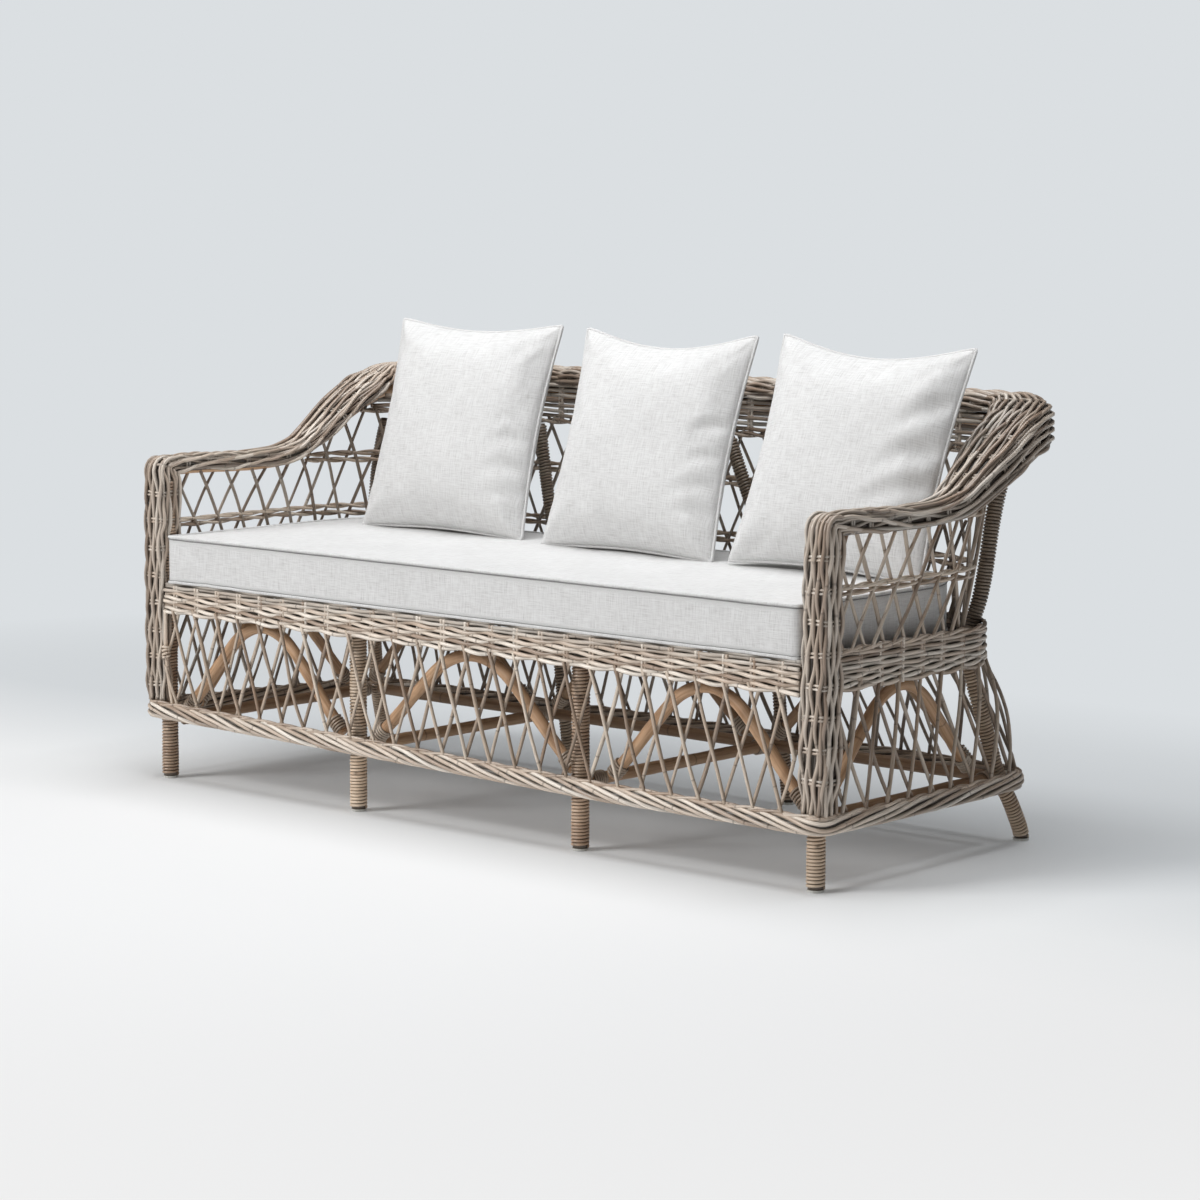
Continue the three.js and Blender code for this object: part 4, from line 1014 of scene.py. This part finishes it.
def build_legs():
    def leg(name, path, R, seed, top=1.0, high=1.0, shade=1.0):
        path = np.asarray(path, float)
        L = arclen(path)[-1]
        P = resample(path, max(12, int(L / 0.006)))
        cn = Cane(seed)
        # painted shade: the core is drawn nearly black, to show as shade in the grooves between the turns
        cn.add(P, R - 0.0040, 12, shade=0.18)
        winding(cn, P, 0.0032, L - 0.0032, R, wire=0.0033, pitch=0.0069, top=top, high=high, shade=shade)
        cn.piece(name + "_wound", wrapped, "frame", (name,), "wrapped")

    cr = [(900, 690, 5.4), (900, 690, 14), (891, 666, 76), (874, 637, 142), (865, 624, 198), (855, 609, 263), (843, 596, 326), (834, 588.5, 378),
          (832, 586.5, 415), (838, 593, 450), (847, 602.5, 490), (853.5, 610, 540), (857, 617, 590), (859, 625, 640), (861, 637, 690), (863, 650, 730), (865, 664, 762)]
    for side, s in (("left", -1), ("right", 1)):
        m = (lambda P: mirror(P)) if s < 0 else (lambda P: np.asarray(P))
        leg(f"front_leg_{side}", m([(0.897, 0.010, 0.0052), (0.897, 0.010, 0.664)]), 0.019, 60 + s)
        leg(f"front_leg_mid_{side}", m([(0.310, 0.010, 0.0052), (0.310, 0.010, 0.392)]), 0.019, 63 + s, top=0.76, shade=1.28)
        leg(f"rear_leg_{side}", m(curve(cr, 0.002)), 0.017, 66 + s, top=0.9, high=0.44)
        x = [(310, 682, 5.4), (310, 682, 14), (310, 663, 130), (310, 648, 240), (310, 633, 370), (310, 629, 430)]
        x += [(300, 630, 500), (272, 631, 580), (237, 634, 650), (200, 636, 730), (176, 640, 779)] if s > 0 else \
             [(312, 630, 500), (324, 631, 580), (340, 634, 650), (355, 636, 730), (366, 640, 779)]
        leg(f"rear_leg_mid_{side}", m(curve(x, 0.002)), 0.015, 69 + s, top=0.75, high=0.8, shade=0.72)


build_legs()
for n in NODES:
    if n.startswith("glide_"):
        o = NODES[n]
        for i in range(max(1, len(o.material_slots))):
            if o.material_slots:
                o.material_slots[i].material = plastic


# ------------------------------------------------------------------ peeled poles
def build_poles():
    def pole(name, P, r, seed, shade=1.0):
        cn = Cane(seed)
        P = np.asarray(P, float)
        n = max(3, int(arclen(P)[-1] / 0.012))
        P = resample(P, n)
        s = arclen(P)
        rr = r * (1 + 0.018 * np.sin(s * 23 + seed) + 0.02 * np.sin(s * 51 + seed * 2))
        f = np.mod(s / 0.34 + seed * 0.37, 1)
        rr = rr * (1 + 0.03 * np.exp(-((f - 0.5) / 0.03) ** 2))
        cn.add(P, rr, 16, tone=cn.rng.uniform(0, 1), shade=shade)
        cn.piece(name + "_wood", pole_wood, "frame", (name,), "pole")
        return P, s

    binds = Cane(90)
    shape = [(-1, 0), (-0.82, 0.22), (-0.55, 0.58), (-0.27, 0.90), (0, 1), (0.27, 0.90), (0.55, 0.58), (0.82, 0.22), (1, 0)]

    def ends(P, s, r, reach=0.036):
        winding(binds, P, 0.004, reach, r + 0.0050, wire=0.0029, shade=0.92)
        winding(binds, P, s[-1] - reach, s[-1] - 0.004, r + 0.0050, wire=0.0029, shade=0.92)

    def arch(a, b, y, zb, zt):
        m, h = (a + b) / 2, (b - a) / 2
        return curve([(m + u * h, y(v) if callable(y) else y, zb + v * (zt - zb)) for u, v in shape])
    rear = lambda v: 590 - 14 * v
    # painted shade: sh draws the rear arches darker than the front ones, as they lie in shade
    for i, (name, P, r, sh) in enumerate((
            ("arch_front_left", arch(-858, -376, 31, 156, 358), 0.0126, 1.0),
            ("arch_front_centre", arch(-276, 276, 31, 156, 358), 0.0126, 1.0),
            ("arch_front_right", arch(376, 858, 31, 156, 358), 0.0126, 1.0),
            ("arch_rear_left", arch(-840, -350, rear, 162, 358), 0.0116, 0.66),
            ("arch_rear_centre", arch(-270, 270, rear, 162, 358), 0.0116, 0.66),
            ("arch_rear_right", arch(350, 840, rear, 162, 358), 0.0116, 0.66))):
        P, s = pole(name, P, r, 70 + i, sh)
        ends(P, s, r)
    for side, sg in (("left", -1), ("right", 1)):
        P = curve([((306 + u * 234), 0, 162 + v * 196) for u, v in shape])
        P = np.stack([np.full(len(P), sg * 0.872), P[:, 0], P[:, 2]], 1)
        P, s = pole(f"arch_side_{side}", P, 0.0116, 77 + sg, 0.95)
        ends(P, s, 0.0116)
    R = 0.134
    # painted shade: the rails and stretchers are drawn darker, the rear base rail most, as they lie in shade
    pole("base_rail_rear", [(-0.853, 0.628, R), (0.853, 0.628, R)], 0.0126, 80, 0.46)
    pole("seat_rail_front", [(-0.877, 0.010, 0.408), (0.877, 0.010, 0.408)], 0.0146, 81, 0.6)
    pole("seat_rail_rear", [(-0.812, 0.598, 0.408), (0.812, 0.598, 0.408)], 0.0126, 82, 0.6)
    for side, sg in (("left", -1), ("right", 1)):
        pole(f"seat_rail_{side}", [(sg * 0.880, 0.030, 0.408), (sg * 0.842, 0.565, 0.408)], 0.0117, 83 + sg, 0.6)
        pole(f"seat_cross_pole_{side}", [(sg * 0.250, 0.026, 0.408), (sg * 0.250, 0.584, 0.408)], 0.0117, 86 + sg, 0.6)
        P, s = pole(f"base_rail_{side}", [(sg * 0.880, 0.030, R), (sg * 0.876, 0.612, R)], 0.0126, 92 + sg, 0.6)
        ends(P, s, 0.0126, 0.034)
        P, s = pole(f"cross_stretcher_{side}", [(sg * 0.310, 0.030, 0.137), (sg * 0.310, 0.614, 0.137)], 0.0126, 96 + sg, 0.8)
        ends(P, s, 0.0126, 0.045)
    # the pole under arm rims and roll
    sel = np.where(RIM_D > 0.030)[0]
    H = RIM_H[sel]
    C = RIM[sel] + RIM_O[sel] * (-H / 2 + 0.0105)[:, None]
    pole("top_rail_pole", C, 0.0122, 99, 0.95)
    # cane tied round the left upright rod
    t = np.linspace(0, 1, 44)[:, None]
    for m in range(4):
        z = 0.2775 + 0.0062 * m
        c = np.array([-0.8718, -0.0222, z])
        P = c + 0.0072 * (np.cos(TAU * t) * [1, 0, 0] + np.sin(TAU * t) * [0, 1, 0]) + 0.0026 * np.sin(TAU * t + m) * [0, 0, 1]
        binds.add(P[:-1], 0.0030, 6, loop=True, shade=1.0, tone=0.75)
    binds.piece("cane_bindings", cane_rod, "frame", (), "weave")


build_poles()


# ------------------------------------------------------------------ seat deck
def build_deck():
    cn = Cane(101)
    p = 0.0112
    for j, y in enumerate(np.arange(0.034, 0.556, p)):
        # rounded rear corners
        half = 0.860 - (0.12 - math.sqrt(max(0, 0.12 ** 2 - max(0, y - 0.44) ** 2)) if y > 0.44 else 0) - 0.003
        n = 62
        x = np.linspace(-half, half, n)
        z = 0.4325 + 0.0022 * np.cos(math.pi * (x / 0.068 + j))
        P = np.stack([x, np.full(n, y) + wobble(x, cn.rng, 1, (0.2, 0.5), 0.0006)[0], z], 1)
        cn.add(P, 0.0040, 6, shade=0.7)
    for x in np.arange(-0.816, 0.82, 0.068):
        for off in (-0.004, 0.004):
            y = np.linspace(0.031, 0.556 - max(0, abs(x) - 0.74) * 0.9, 20)
            P = np.stack([np.full(20, x + off), y, np.full(20, 0.4325)], 1)
            cn.add(P, 0.0030, 6, shade=0.7)
    cn.piece("seat_deck_weave", cane, "frame", ("seat_deck",), "weave")


build_deck()


# ------------------------------------------------------------------ soft goods
def cloth_attr(me, uv):
    at = me.attributes.new("cloth", "FLOAT_VECTOR", "POINT")
    at.data.foreach_set("vector", np.asarray(uv, np.float32).ravel())


def inflate(ob, pressure=4.0, frames=20, cap=0.03, stiff=15.0, bend=0.4, shrink=0.0):
    """Runs Blender's cloth with inner pressure, limits how far a point moves and keeps the result as plain mesh."""
    me = ob.data
    before = np.empty(len(me.vertices) * 3, np.float32)
    me.vertices.foreach_get("co", before)
    before = before.reshape(-1, 3)
    mod = ob.modifiers.new("soft", "CLOTH")
    st = mod.settings
    st.quality = 6
    st.mass = 0.3
    st.tension_stiffness = stiff
    st.compression_stiffness = stiff
    st.shear_stiffness = 5
    st.bending_stiffness = bend
    st.use_pressure = True
    st.uniform_pressure_force = pressure
    st.effector_weights.gravity = 0
    st.shrink_min = shrink
    mod.collision_settings.use_collision = False
    mod.collision_settings.use_self_collision = False
    mod.point_cache.frame_start = 1
    mod.point_cache.frame_end = frames
    sc = bpy.context.scene
    for f in range(1, frames + 1):
        sc.frame_set(f)
    dg = bpy.context.evaluated_depsgraph_get()
    ev = ob.evaluated_get(dg)
    after = np.empty(len(me.vertices) * 3, np.float32)
    ev.data.vertices.foreach_get("co", after)
    after = after.reshape(-1, 3)
    ob.modifiers.remove(mod)
    sc.frame_set(1)
    move = after - before
    d = np.linalg.norm(move, axis=1, keepdims=True)
    move = move * np.minimum(1, cap / np.maximum(d, 1e-9))
    out = before + move
    me.vertices.foreach_set("co", out.ravel())
    me.update()
    return out


def tube_mesh(name, P, r, material, body, loop=True, sides=8, uv_scale=1.0):
    cn = Cane(5)
    cn.add(np.asarray(P), r, sides, loop=loop)
    V = np.concatenate(cn.V) + [0, YC, 0]
    me = make_mesh(name, V, np.concatenate(cn.loops), np.concatenate(cn.totals))
    g = np.concatenate(cn.grain)
    cloth_attr(me, np.stack([g[:, 0] * uv_scale, np.arctan2(g[:, 2], g[:, 1]) * r, np.zeros(len(g))], 1))
    return give(name, me, material, body, ())


def pillow(name, size, thick, seed, droop, creases):
    """Knife-edge pillow: front and rear cloth joined at a seam whose edges pull in between pointed corners, crowned, then blown up a little."""
    n = 64
    g = np.sin(np.linspace(-1, 1, n + 1) * math.pi / 2 * 0.86) / math.sin(math.pi / 2 * 0.86)
    u, v = np.meshgrid(g, g, indexing="ij")
    half = size / 2
    pull = 0.0150
    x = u * (half - pull * (1 - v ** 2) ** 1.5)
    # the top edge hangs between its corners
    z = v * (half - (pull - 0.004 + (droop - pull) * sstep(0.1, 1.0, v)) * (1 - u ** 2) ** 1.5)
    # the crown: steep at the seam, full in the middle, thin in the corners
    fu, fv = np.clip(1 - np.abs(u) ** 2.3, 0, 1), np.clip(1 - np.abs(v) ** 2.3, 0, 1)
    f = (fu * fv) ** 0.52
    # sewn-edge puckers and soft folds that run out of the corners
    rng = np.random.default_rng(seed)

    def folds(side):
        out = np.zeros_like(u)
        for su in (-1, 1):
            for sv in (-1, 1):
                du, dv = (1 - su * u), (1 - sv * v)
                rad, ang = np.hypot(du, dv), np.arctan2(dv, du)
                k = np.exp(-((rad - 0.34) / 0.30) ** 2) * np.sin(2 * np.clip(ang, 0, math.pi / 2)) ** 1.2
                out = out + 0.0042 * k * np.cos(rng.uniform(5.0, 8.5) * (ang - math.pi / 4) + rng.uniform(-0.9, 0.9)) * rng.uniform(0.5, 1.1)
        e = np.exp(-np.minimum(1 - np.abs(u), 1 - np.abs(v)) / 0.075) - np.exp(-np.minimum(1 - np.abs(u), 1 - np.abs(v)) / 0.02)
        along = np.where(np.abs(u) > np.abs(v), v, u)
        w = sum(np.sin(along * q + rng.uniform(0, TAU)) for q in (17, 23, 31)) / 3
        out = out + 0.0030 * e * w
        # broad uneven filling
        for _ in range(5):
            cu, cv = rng.uniform(-0.6, 0.6, 2)
            out = out + rng.uniform(-0.0042, 0.0036) * np.exp(-((u - cu) ** 2 + (v - cv) ** 2) / 0.11)
        return out * np.clip(f * 2.2, 0, 1)
    T = thick / 2
    full = f * (1 - 0.10 * v)
    yf, yb = -(T * full + folds(0)), (T * full + folds(1))
    idf = np.arange((n + 1) ** 2).reshape(n + 1, n + 1)
    edge = (np.abs(u) > 0.99999) | (np.abs(v) > 0.99999)
    yf[edge] = 0
    V = [np.stack([x, yf, z], -1).reshape(-1, 3), np.stack([x, yb, z], -1)[~edge]]
    uv = [np.stack([x, z, np.zeros_like(x)], -1).reshape(-1, 3), np.stack([x, z, np.full_like(x, 3.0)], -1)[~edge]]
    idb = np.where(edge, idf, -1)
    idb[~edge] = (n + 1) ** 2 + np.arange(int((~edge).sum()))
    V, uv = np.concatenate(V), np.concatenate(uv)
    a, b, c, d = idf[:-1, :-1], idf[1:, :-1], idf[1:, 1:], idf[:-1, 1:]
    q1 = np.stack([a, b, c, d], -1).reshape(-1, 4)
    a, b, c, d = idb[:-1, :-1], idb[1:, :-1], idb[1:, 1:], idb[:-1, 1:]
    q2 = np.stack([a, d, c, b], -1).reshape(-1, 4)
    q = np.vstack([q1, q2])
    me = make_mesh(name, V, q.ravel(), np.full(len(q), 4))
    ob = bpy.data.objects.new(name, me)
    bpy.context.scene.collection.objects.link(ob)
    co = inflate(ob, pressure=4.0, frames=20, cap=0.010, stiff=22, bend=0.25)
    co = np.asarray(co, float)
    co[:, 1] *= thick / 2 / np.abs(co[:, 1]).max()
    # creases of the front cloth that run in from the seam
    uu, vv = u.ravel(), v.ravel()
    dent = np.zeros(len(uu))
    for u0, v0, u1, v1, w, amp in creases:
        L = math.hypot(u1 - u0, v1 - v0)
        tx, tz = (u1 - u0) / L, (v1 - v0) / L
        t = ((uu - u0) * tx + (vv - v0) * tz) / L
        sd = (uu - u0) * tz - (vv - v0) * tx + 0.05 * L * np.sin(4 * t + 9 * u0)
        along = sstep(-0.15, 0.12, t) * (1 - sstep(0.45, 1.15, t))
        dent += amp * along * (np.exp(-(sd / w) ** 2) - 0.55 * np.exp(-((sd - 1.7 * w) / w) ** 2) - 0.35 * np.exp(-((sd + 1.7 * w) / w) ** 2))
    co[:(n + 1) ** 2, 1] += dent * np.clip(f.ravel() * 2.6, 0, 1)
    ids = np.concatenate([idf[:, 0], idf[-1, 1:], idf[::-1, -1][1:], idf[0, ::-1][1:-1]])
    return ob, co, ids, uv


PILLOW_SETS = (
    ("left", -475, 435, 0.0, 16.0, 0.0, 0.024, (
        (1.0, -0.08, 0.58, -0.15, 0.050, 0.0036), (1.0, -0.34, 0.52, -0.42, 0.055, 0.0036), (1.0, -0.58, 0.60, -0.66, 0.05, 0.0030),
        (0.92, 0.92, 0.55, 0.52, 0.07, 0.0040), (-0.95, 0.90, -0.60, 0.50, 0.08, 0.0030), (0.35, -1.0, 0.25, -0.70, 0.06, 0.0036),
        (-0.90, -0.80, -0.55, -0.62, 0.06, 0.0030))),
    ("centre", 90, 400, -2.0, 17.0, 0.0, 0.037, (
        (1.0, 0.18, 0.62, 0.10, 0.045, 0.0062), (1.0, -0.08, 0.66, -0.17, 0.045, 0.0050), (1.0, -0.32, 0.58, -0.44, 0.05, 0.0048),
        (0.98, -0.58, 0.60, -0.62, 0.05, 0.0034), (0.92, 0.92, 0.60, 0.55, 0.07, 0.0046), (-0.95, 0.92, -0.62, 0.60, 0.07, 0.0034),
        (0.1, 1.0, 0.18, 0.74, 0.07, 0.0030))),
    ("right", 626, 384, 0.0, 19.3, 1.5, 0.037, (
        (1.0, 0.52, 0.56, 0.26, 0.080, 0.0075), (1.0, 0.12, 0.46, -0.08, 0.085, 0.0075), (0.98, -0.18, 0.34, -0.46, 0.065, 0.0052),
        (0.94, 0.90, 0.55, 0.58, 0.06, 0.0044), (-0.95, 0.92, -0.55, 0.58, 0.07, 0.0036), (-0.05, 1.0, -0.12, 0.66, 0.06, 0.0034),
        (0.30, 1.0, 0.22, 0.72, 0.06, 0.0030))),
)


def build_pillows():
    for i, (side, cx, cy, yaw, tilt, roll, droop, creases) in enumerate(PILLOW_SETS):
        name = f"pillow_{side}"
        ob, co, edge, uv = pillow(name, 0.496, 0.152, 200 + i, droop, creases)
        # stand it up on its lower edge and lean it back
        co = co @ np.array(Matrix.Rotation(math.radians(roll), 3, "Y")).T
        co[:, 2] -= co[:, 2].min() + 0.002
        M = Matrix.Translation((cx / 1000, cy / 1000 - YC, 0.5426)) @ Matrix.Rotation(math.radians(yaw), 4, "Z") @ Matrix.Rotation(math.radians(-tilt), 4, "X")
        A = np.array(M)
        co = co @ A[:3, :3].T + A[:3, 3]
        # it sits on the cushion: what would go lower is pressed flat
        low = 0.5460
        d = np.clip(low + 0.006 - co[:, 2], 0, None)
        co[:, 2] = np.where(co[:, 2] < low + 0.006, low + 0.006 - 0.006 * (1 - np.exp(-d / 0.006)), co[:, 2])
        me = ob.data
        me.vertices.foreach_set("co", co.astype(np.float32).ravel())
        me.update()
        cloth_attr(me, uv)
        me.materials.append(linen)
        sub = ob.modifiers.new("sub", "SUBSURF")
        sub.levels = sub.render_levels = 1
        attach(ob, name)
        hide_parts(f"back_pillow_{side}")
        P = co[edge]
        P = resample(np.vstack([P, P[:1]]), 300)[:-1]
        tube_mesh(f"{name}_piping", P, 0.0034, linen_pipe, name)


build_pillows()


def seat_cushion():
    X, Y0, Y1, R, r = 0.8750, -0.0270, 0.6030, 0.196, 0.011
    Z0, Z1 = 0.4400, 0.5394
    nx, ny, nz = 118, 44, 8

    def warp(x, y):
        """Moves a grid point of the rectangle into the outline with rounded corners."""
        out = np.stack([x, y], -1)
        for sx in (-1, 1):
            for sy, rad in ((-1, r), (1, R)):
                cx = sx * (X - rad)
                cy = (Y0 + rad) if sy < 0 else (Y1 - rad)
                dx, dy = (out[..., 0] - cx) * sx, (out[..., 1] - cy) * sy
                m = (dx > 0) & (dy > 0)
                a, b = dx[m] / rad, dy[m] / rad
                big = np.maximum(a, b)
                ln = np.sqrt(a * a + b * b) + 1e-12
                k = big / ln
                out[..., 0][m] = cx + sx * a * k * rad
                out[..., 1][m] = cy + sy * b * k * rad
        return out
    gx, gy = np.linspace(-X, X, nx + 1), np.linspace(Y0, Y1, ny + 1)
    xx, yy = np.meshgrid(gx, gy, indexing="ij")
    W = warp(xx.copy(), yy.copy())
    n2 = (nx + 1) * (ny + 1)
    top = np.concatenate([W, np.full((nx + 1, ny + 1, 1), Z1)], -1)
    bot = np.concatenate([W, np.full((nx + 1, ny + 1, 1), Z0)], -1)
    ids = np.arange(n2).reshape(nx + 1, ny + 1)
    V = [top.reshape(-1, 3), bot.reshape(-1, 3)]
    uv = [np.stack([xx, yy, np.zeros_like(xx)], -1).reshape(-1, 3), np.stack([xx, yy, np.full_like(xx, 2.0)], -1).reshape(-1, 3)]
    idt, idb = ids, ids + n2
    F = []
    a, b, c, d = idt[:-1, :-1], idt[1:, :-1], idt[1:, 1:], idt[:-1, 1:]
    F.append(np.stack([a, b, c, d], -1).reshape(-1, 4))
    a, b, c, d = idb[:-1, :-1], idb[1:, :-1], idb[1:, 1:], idb[:-1, 1:]
    F.append(np.stack([a, d, c, b], -1).reshape(-1, 4))
    # boundary, anticlockwise seen from above
    edge = np.concatenate([ids[:, 0], ids[-1, 1:], ids[::-1, -1][1:], ids[0, ::-1][1:-1]])
    ne = len(edge)
    eT, eB = edge, edge + n2
    P = top.reshape(-1, 3)[edge]
    s = arclen(np.vstack([P, P[:1]]))[:-1]
    prev = eB
    base = 2 * n2
    for j in range(1, nz):
        t = j / nz
        Q = P.copy()
        Q[:, 2] = Z0 + (Z1 - Z0) * t
        V.append(Q)
        uv.append(np.column_stack([s, np.full(ne, 3 + t * 0.1), np.full(ne, 1.0)]))
        cur = base + np.arange(ne)
        base += ne
        F.append(np.stack([prev, np.roll(prev, -1), np.roll(cur, -1), cur], -1))
        prev = cur
    F.append(np.stack([prev, np.roll(prev, -1), np.roll(eT, -1), eT], -1))
    V, uv, F = np.concatenate(V), np.concatenate(uv), np.concatenate(F)
    me = make_mesh("seat_cushion_linen", V, F.ravel(), np.full(len(F), 4))
    ob = bpy.data.objects.new("seat_cushion_linen", me)
    bpy.context.scene.collection.objects.link(ob)
    co = inflate(ob, pressure=2.2, frames=14, cap=0.010, stiff=25)
    co = np.asarray(co, float)
    # the underside lies on the deck, the rim of the cushion stays inside the frame
    co[:, 2] = np.where(co[:, 2] < Z0, Z0 + (co[:, 2] - Z0) * 0.05, co[:, 2])
    # the top crowns softly and dips at the piped edge
    f = np.clip(np.minimum.reduce([X - np.abs(co[:, 0]), co[:, 1] - Y0, Y1 - co[:, 1]]), 0, None)
    topm = co[:, 2] > Z1 - 0.004
    wave = 0.0016 * np.sin(co[:, 0] * 9 + 1.0) * np.sin(co[:, 1] * 8) + 0.0010 * np.sin(co[:, 0] * 31 + co[:, 1] * 12)
    co[:, 2] = np.where(topm, Z1 + 0.0062 * (1 - np.exp(-f / 0.045)) + wave * (1 - np.exp(-f / 0.06)), co[:, 2])
    co[:, 2] = np.minimum(co[:, 2], Z1 + 0.0064)
    co[:, 0] = np.clip(co[:, 0], -0.8795, 0.8750)
    co[:, 1] = np.clip(co[:, 1], Y0 - 0.0055, Y1 + 0.006)
    co[:, 1] -= YC
    me.vertices.foreach_set("co", co.astype(np.float32).ravel())
    me.update()
    cloth_attr(me, uv)
    me.materials.append(linen)
    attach(ob, "seat_cushion")
    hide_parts("seat_cushion")
    # painted shadow: dark cords next to the piping, sunk half way into the cloth of the sides, stand for the shaded
    # grooves of the seams
    ring = 2 * n2 + np.arange(ne)
    for tag, ids_, row, r_ in (("top", eT, ring + (nz - 2) * ne, 0.0013), ("bottom", eB, ring, 0.0009)):
        Q = co[ids_] + 0.37 * (co[row] - co[ids_])
        tube_mesh(f"seat_seam_shadow_{tag}", resample(np.vstack([Q, Q[:1]]), 620)[:-1], r_, linen_seam_shadow, "seat_cushion", sides=6)
    for tag, ids_, dz in (("top", eT, 0.0), ("bottom", eB, 0.001)):
        Q = co[ids_]
        tube_mesh(f"seat_piping_{tag}", resample(np.vstack([Q, Q[:1]]), 620)[:-1] + [0, 0, dz], 0.0033, linen_pipe, "seat_cushion")


seat_cushion()


# ------------------------------------------------------------------ stage, light and camera
BG = (219, 223, 226)


def stage():
    me = bpy.data.meshes.new("floor")
    bm = bmesh.new()
    bmesh.ops.create_circle(bm, cap_ends=True, segments=96, radius=60)
    bm.to_mesh(me)
    bm.free()
    ob = bpy.data.objects.new("floor", me)
    bpy.context.scene.collection.objects.link(ob)
    m = Tree("floor_pale")
    co = m.node("ShaderNodeTexCoord").outputs["Object"]
    x, y, z = m.split(co)
    r = m.math("SQRT", m.math("ADD", m.math("MULTIPLY", x, x), m.math("MULTIPLY", y, y)))
    # white paper in front of the legs, greyer behind them
    near = m.ramp(m.span(y, -0.75, 0.35, 0.0, 1.0), [(0.0, srgb(235, 235, 235)), (0.35, srgb(232, 233, 233)), (1.0, srgb(212, 215, 217))])
    far = m.ramp(m.span(y, -0.75, 0.35, 0.0, 1.0), [(0.0, srgb(242, 242, 242)), (0.35, srgb(238, 239, 240)), (1.0, srgb(*BG))])
    m.link(near, m.bsdf.inputs["Base Color"])
    m.set(Roughness=0.75, Specular_IOR_Level=0.1)
    # far away the floor goes over into the even paper of the background; nearer, it glows a little too, painted light
    # that lifts the cast shadows
    em = m.node("ShaderNodeEmission")
    m.link(far, em.inputs["Color"])
    em.inputs["Strength"].default_value = 1.0
    mx = m.node("ShaderNodeMixShader")
    m.link(m.math("MAXIMUM", m.span(r, 1.5, 3.4, 0.14, 1.0), m.span(y, 0.55, 1.95, 0.14, 1.0)), mx.inputs[0])
    m.link(m.bsdf.outputs[0], mx.inputs[1])
    m.link(em.outputs[0], mx.inputs[2])
    out = [n for n in m.t.nodes if n.type == "OUTPUT_MATERIAL"][0]
    m.link(mx.outputs[0], out.inputs["Surface"])
    me.materials.append(m.mat)

    # paper behind everything, seen by the camera only
    me = bpy.data.meshes.new("backdrop")
    bm = bmesh.new()
    bmesh.ops.create_icosphere(bm, subdivisions=4, radius=64)
    bmesh.ops.reverse_faces(bm, faces=bm.faces)
    bm.to_mesh(me)
    bm.free()
    ob = bpy.data.objects.new("backdrop", me)
    bpy.context.scene.collection.objects.link(ob)
    for k in ("visible_diffuse", "visible_glossy", "visible_transmission", "visible_volume_scatter", "visible_shadow"):
        setattr(ob, k, False)
    mat = bpy.data.materials.new("backdrop_paper")
    mat.use_nodes = True
    t = mat.node_tree
    t.nodes.remove(t.nodes["Principled BSDF"])
    e = t.nodes.new("ShaderNodeEmission")
    e.inputs["Color"].default_value = (*srgb(*BG), 1)
    t.links.new(e.outputs[0], [n for n in t.nodes if n.type == "OUTPUT_MATERIAL"][0].inputs["Surface"])
    me.materials.append(mat)

    w = bpy.data.worlds.new("studio")
    bpy.context.scene.world = w
    w.use_nodes = True
    bg = w.node_tree.nodes["Background"]
    bg.inputs[0].default_value = (*srgb(229, 229, 230), 1)
    bg.inputs[1].default_value = WORLD

    def area(name, loc, target, size, power, color=(1, 1, 1)):
        d = bpy.data.lights.new(name, "AREA")
        d.shape = "RECTANGLE"
        d.size, d.size_y = size
        d.energy = power
        d.color = color
        o = bpy.data.objects.new(name, d)
        o.location = loc
        o.rotation_euler = (Vector(target) - Vector(loc)).to_track_quat("-Z", "Y").to_euler()
        bpy.context.scene.collection.objects.link(o)
    area("key", (-4.5, -8.5, 6.1), (0, -0.2, 0.4), (4.4, 4.4), KEY)
    area("top", (0.2, 0.0, 5.2), (0, 0, 0.4), (4.2, 3.4), TOP, (0.97, 0.985, 1.0))
    area("fill", (5.0, -1.5, 2.0), (0, 0, 0.5), (3.0, 2.4), FILL, (0.96, 0.98, 1.0))


WORLD, KEY, TOP, FILL = 0.12, 710, 232, 2
stage()


def camera():
    d = bpy.data.cameras.new("camera")
    o = bpy.data.objects.new("camera", d)
    bpy.context.scene.collection.objects.link(o)
    bpy.context.scene.camera = o
    d.sensor_width = 36.0
    d.sensor_fit = "HORIZONTAL"
    d.lens = 3412.963 / 1200 * 36
    d.shift_x = 2.3 / 1200
    d.shift_y = -17.3 / 1200
    f = Vector((-0.65007, 0.75024, -0.12063)).normalized()
    right = f.cross(Vector((0, 0, 1))).normalized()
    up = right.cross(f)
    a = math.radians(0.303)
    r2 = right * math.cos(a) + up * math.sin(a)
    u2 = -right * math.sin(a) + up * math.cos(a)
    M = Matrix((r2, u2, -f)).transposed().to_4x4()
    M.translation = Vector((4.70194, -5.00971 - YC, 1.34589))
    o.matrix_world = M
    d.clip_end = 200


camera()

sc = bpy.context.scene
sc.view_settings.view_transform = "Standard"
sc.view_settings.look = "None"
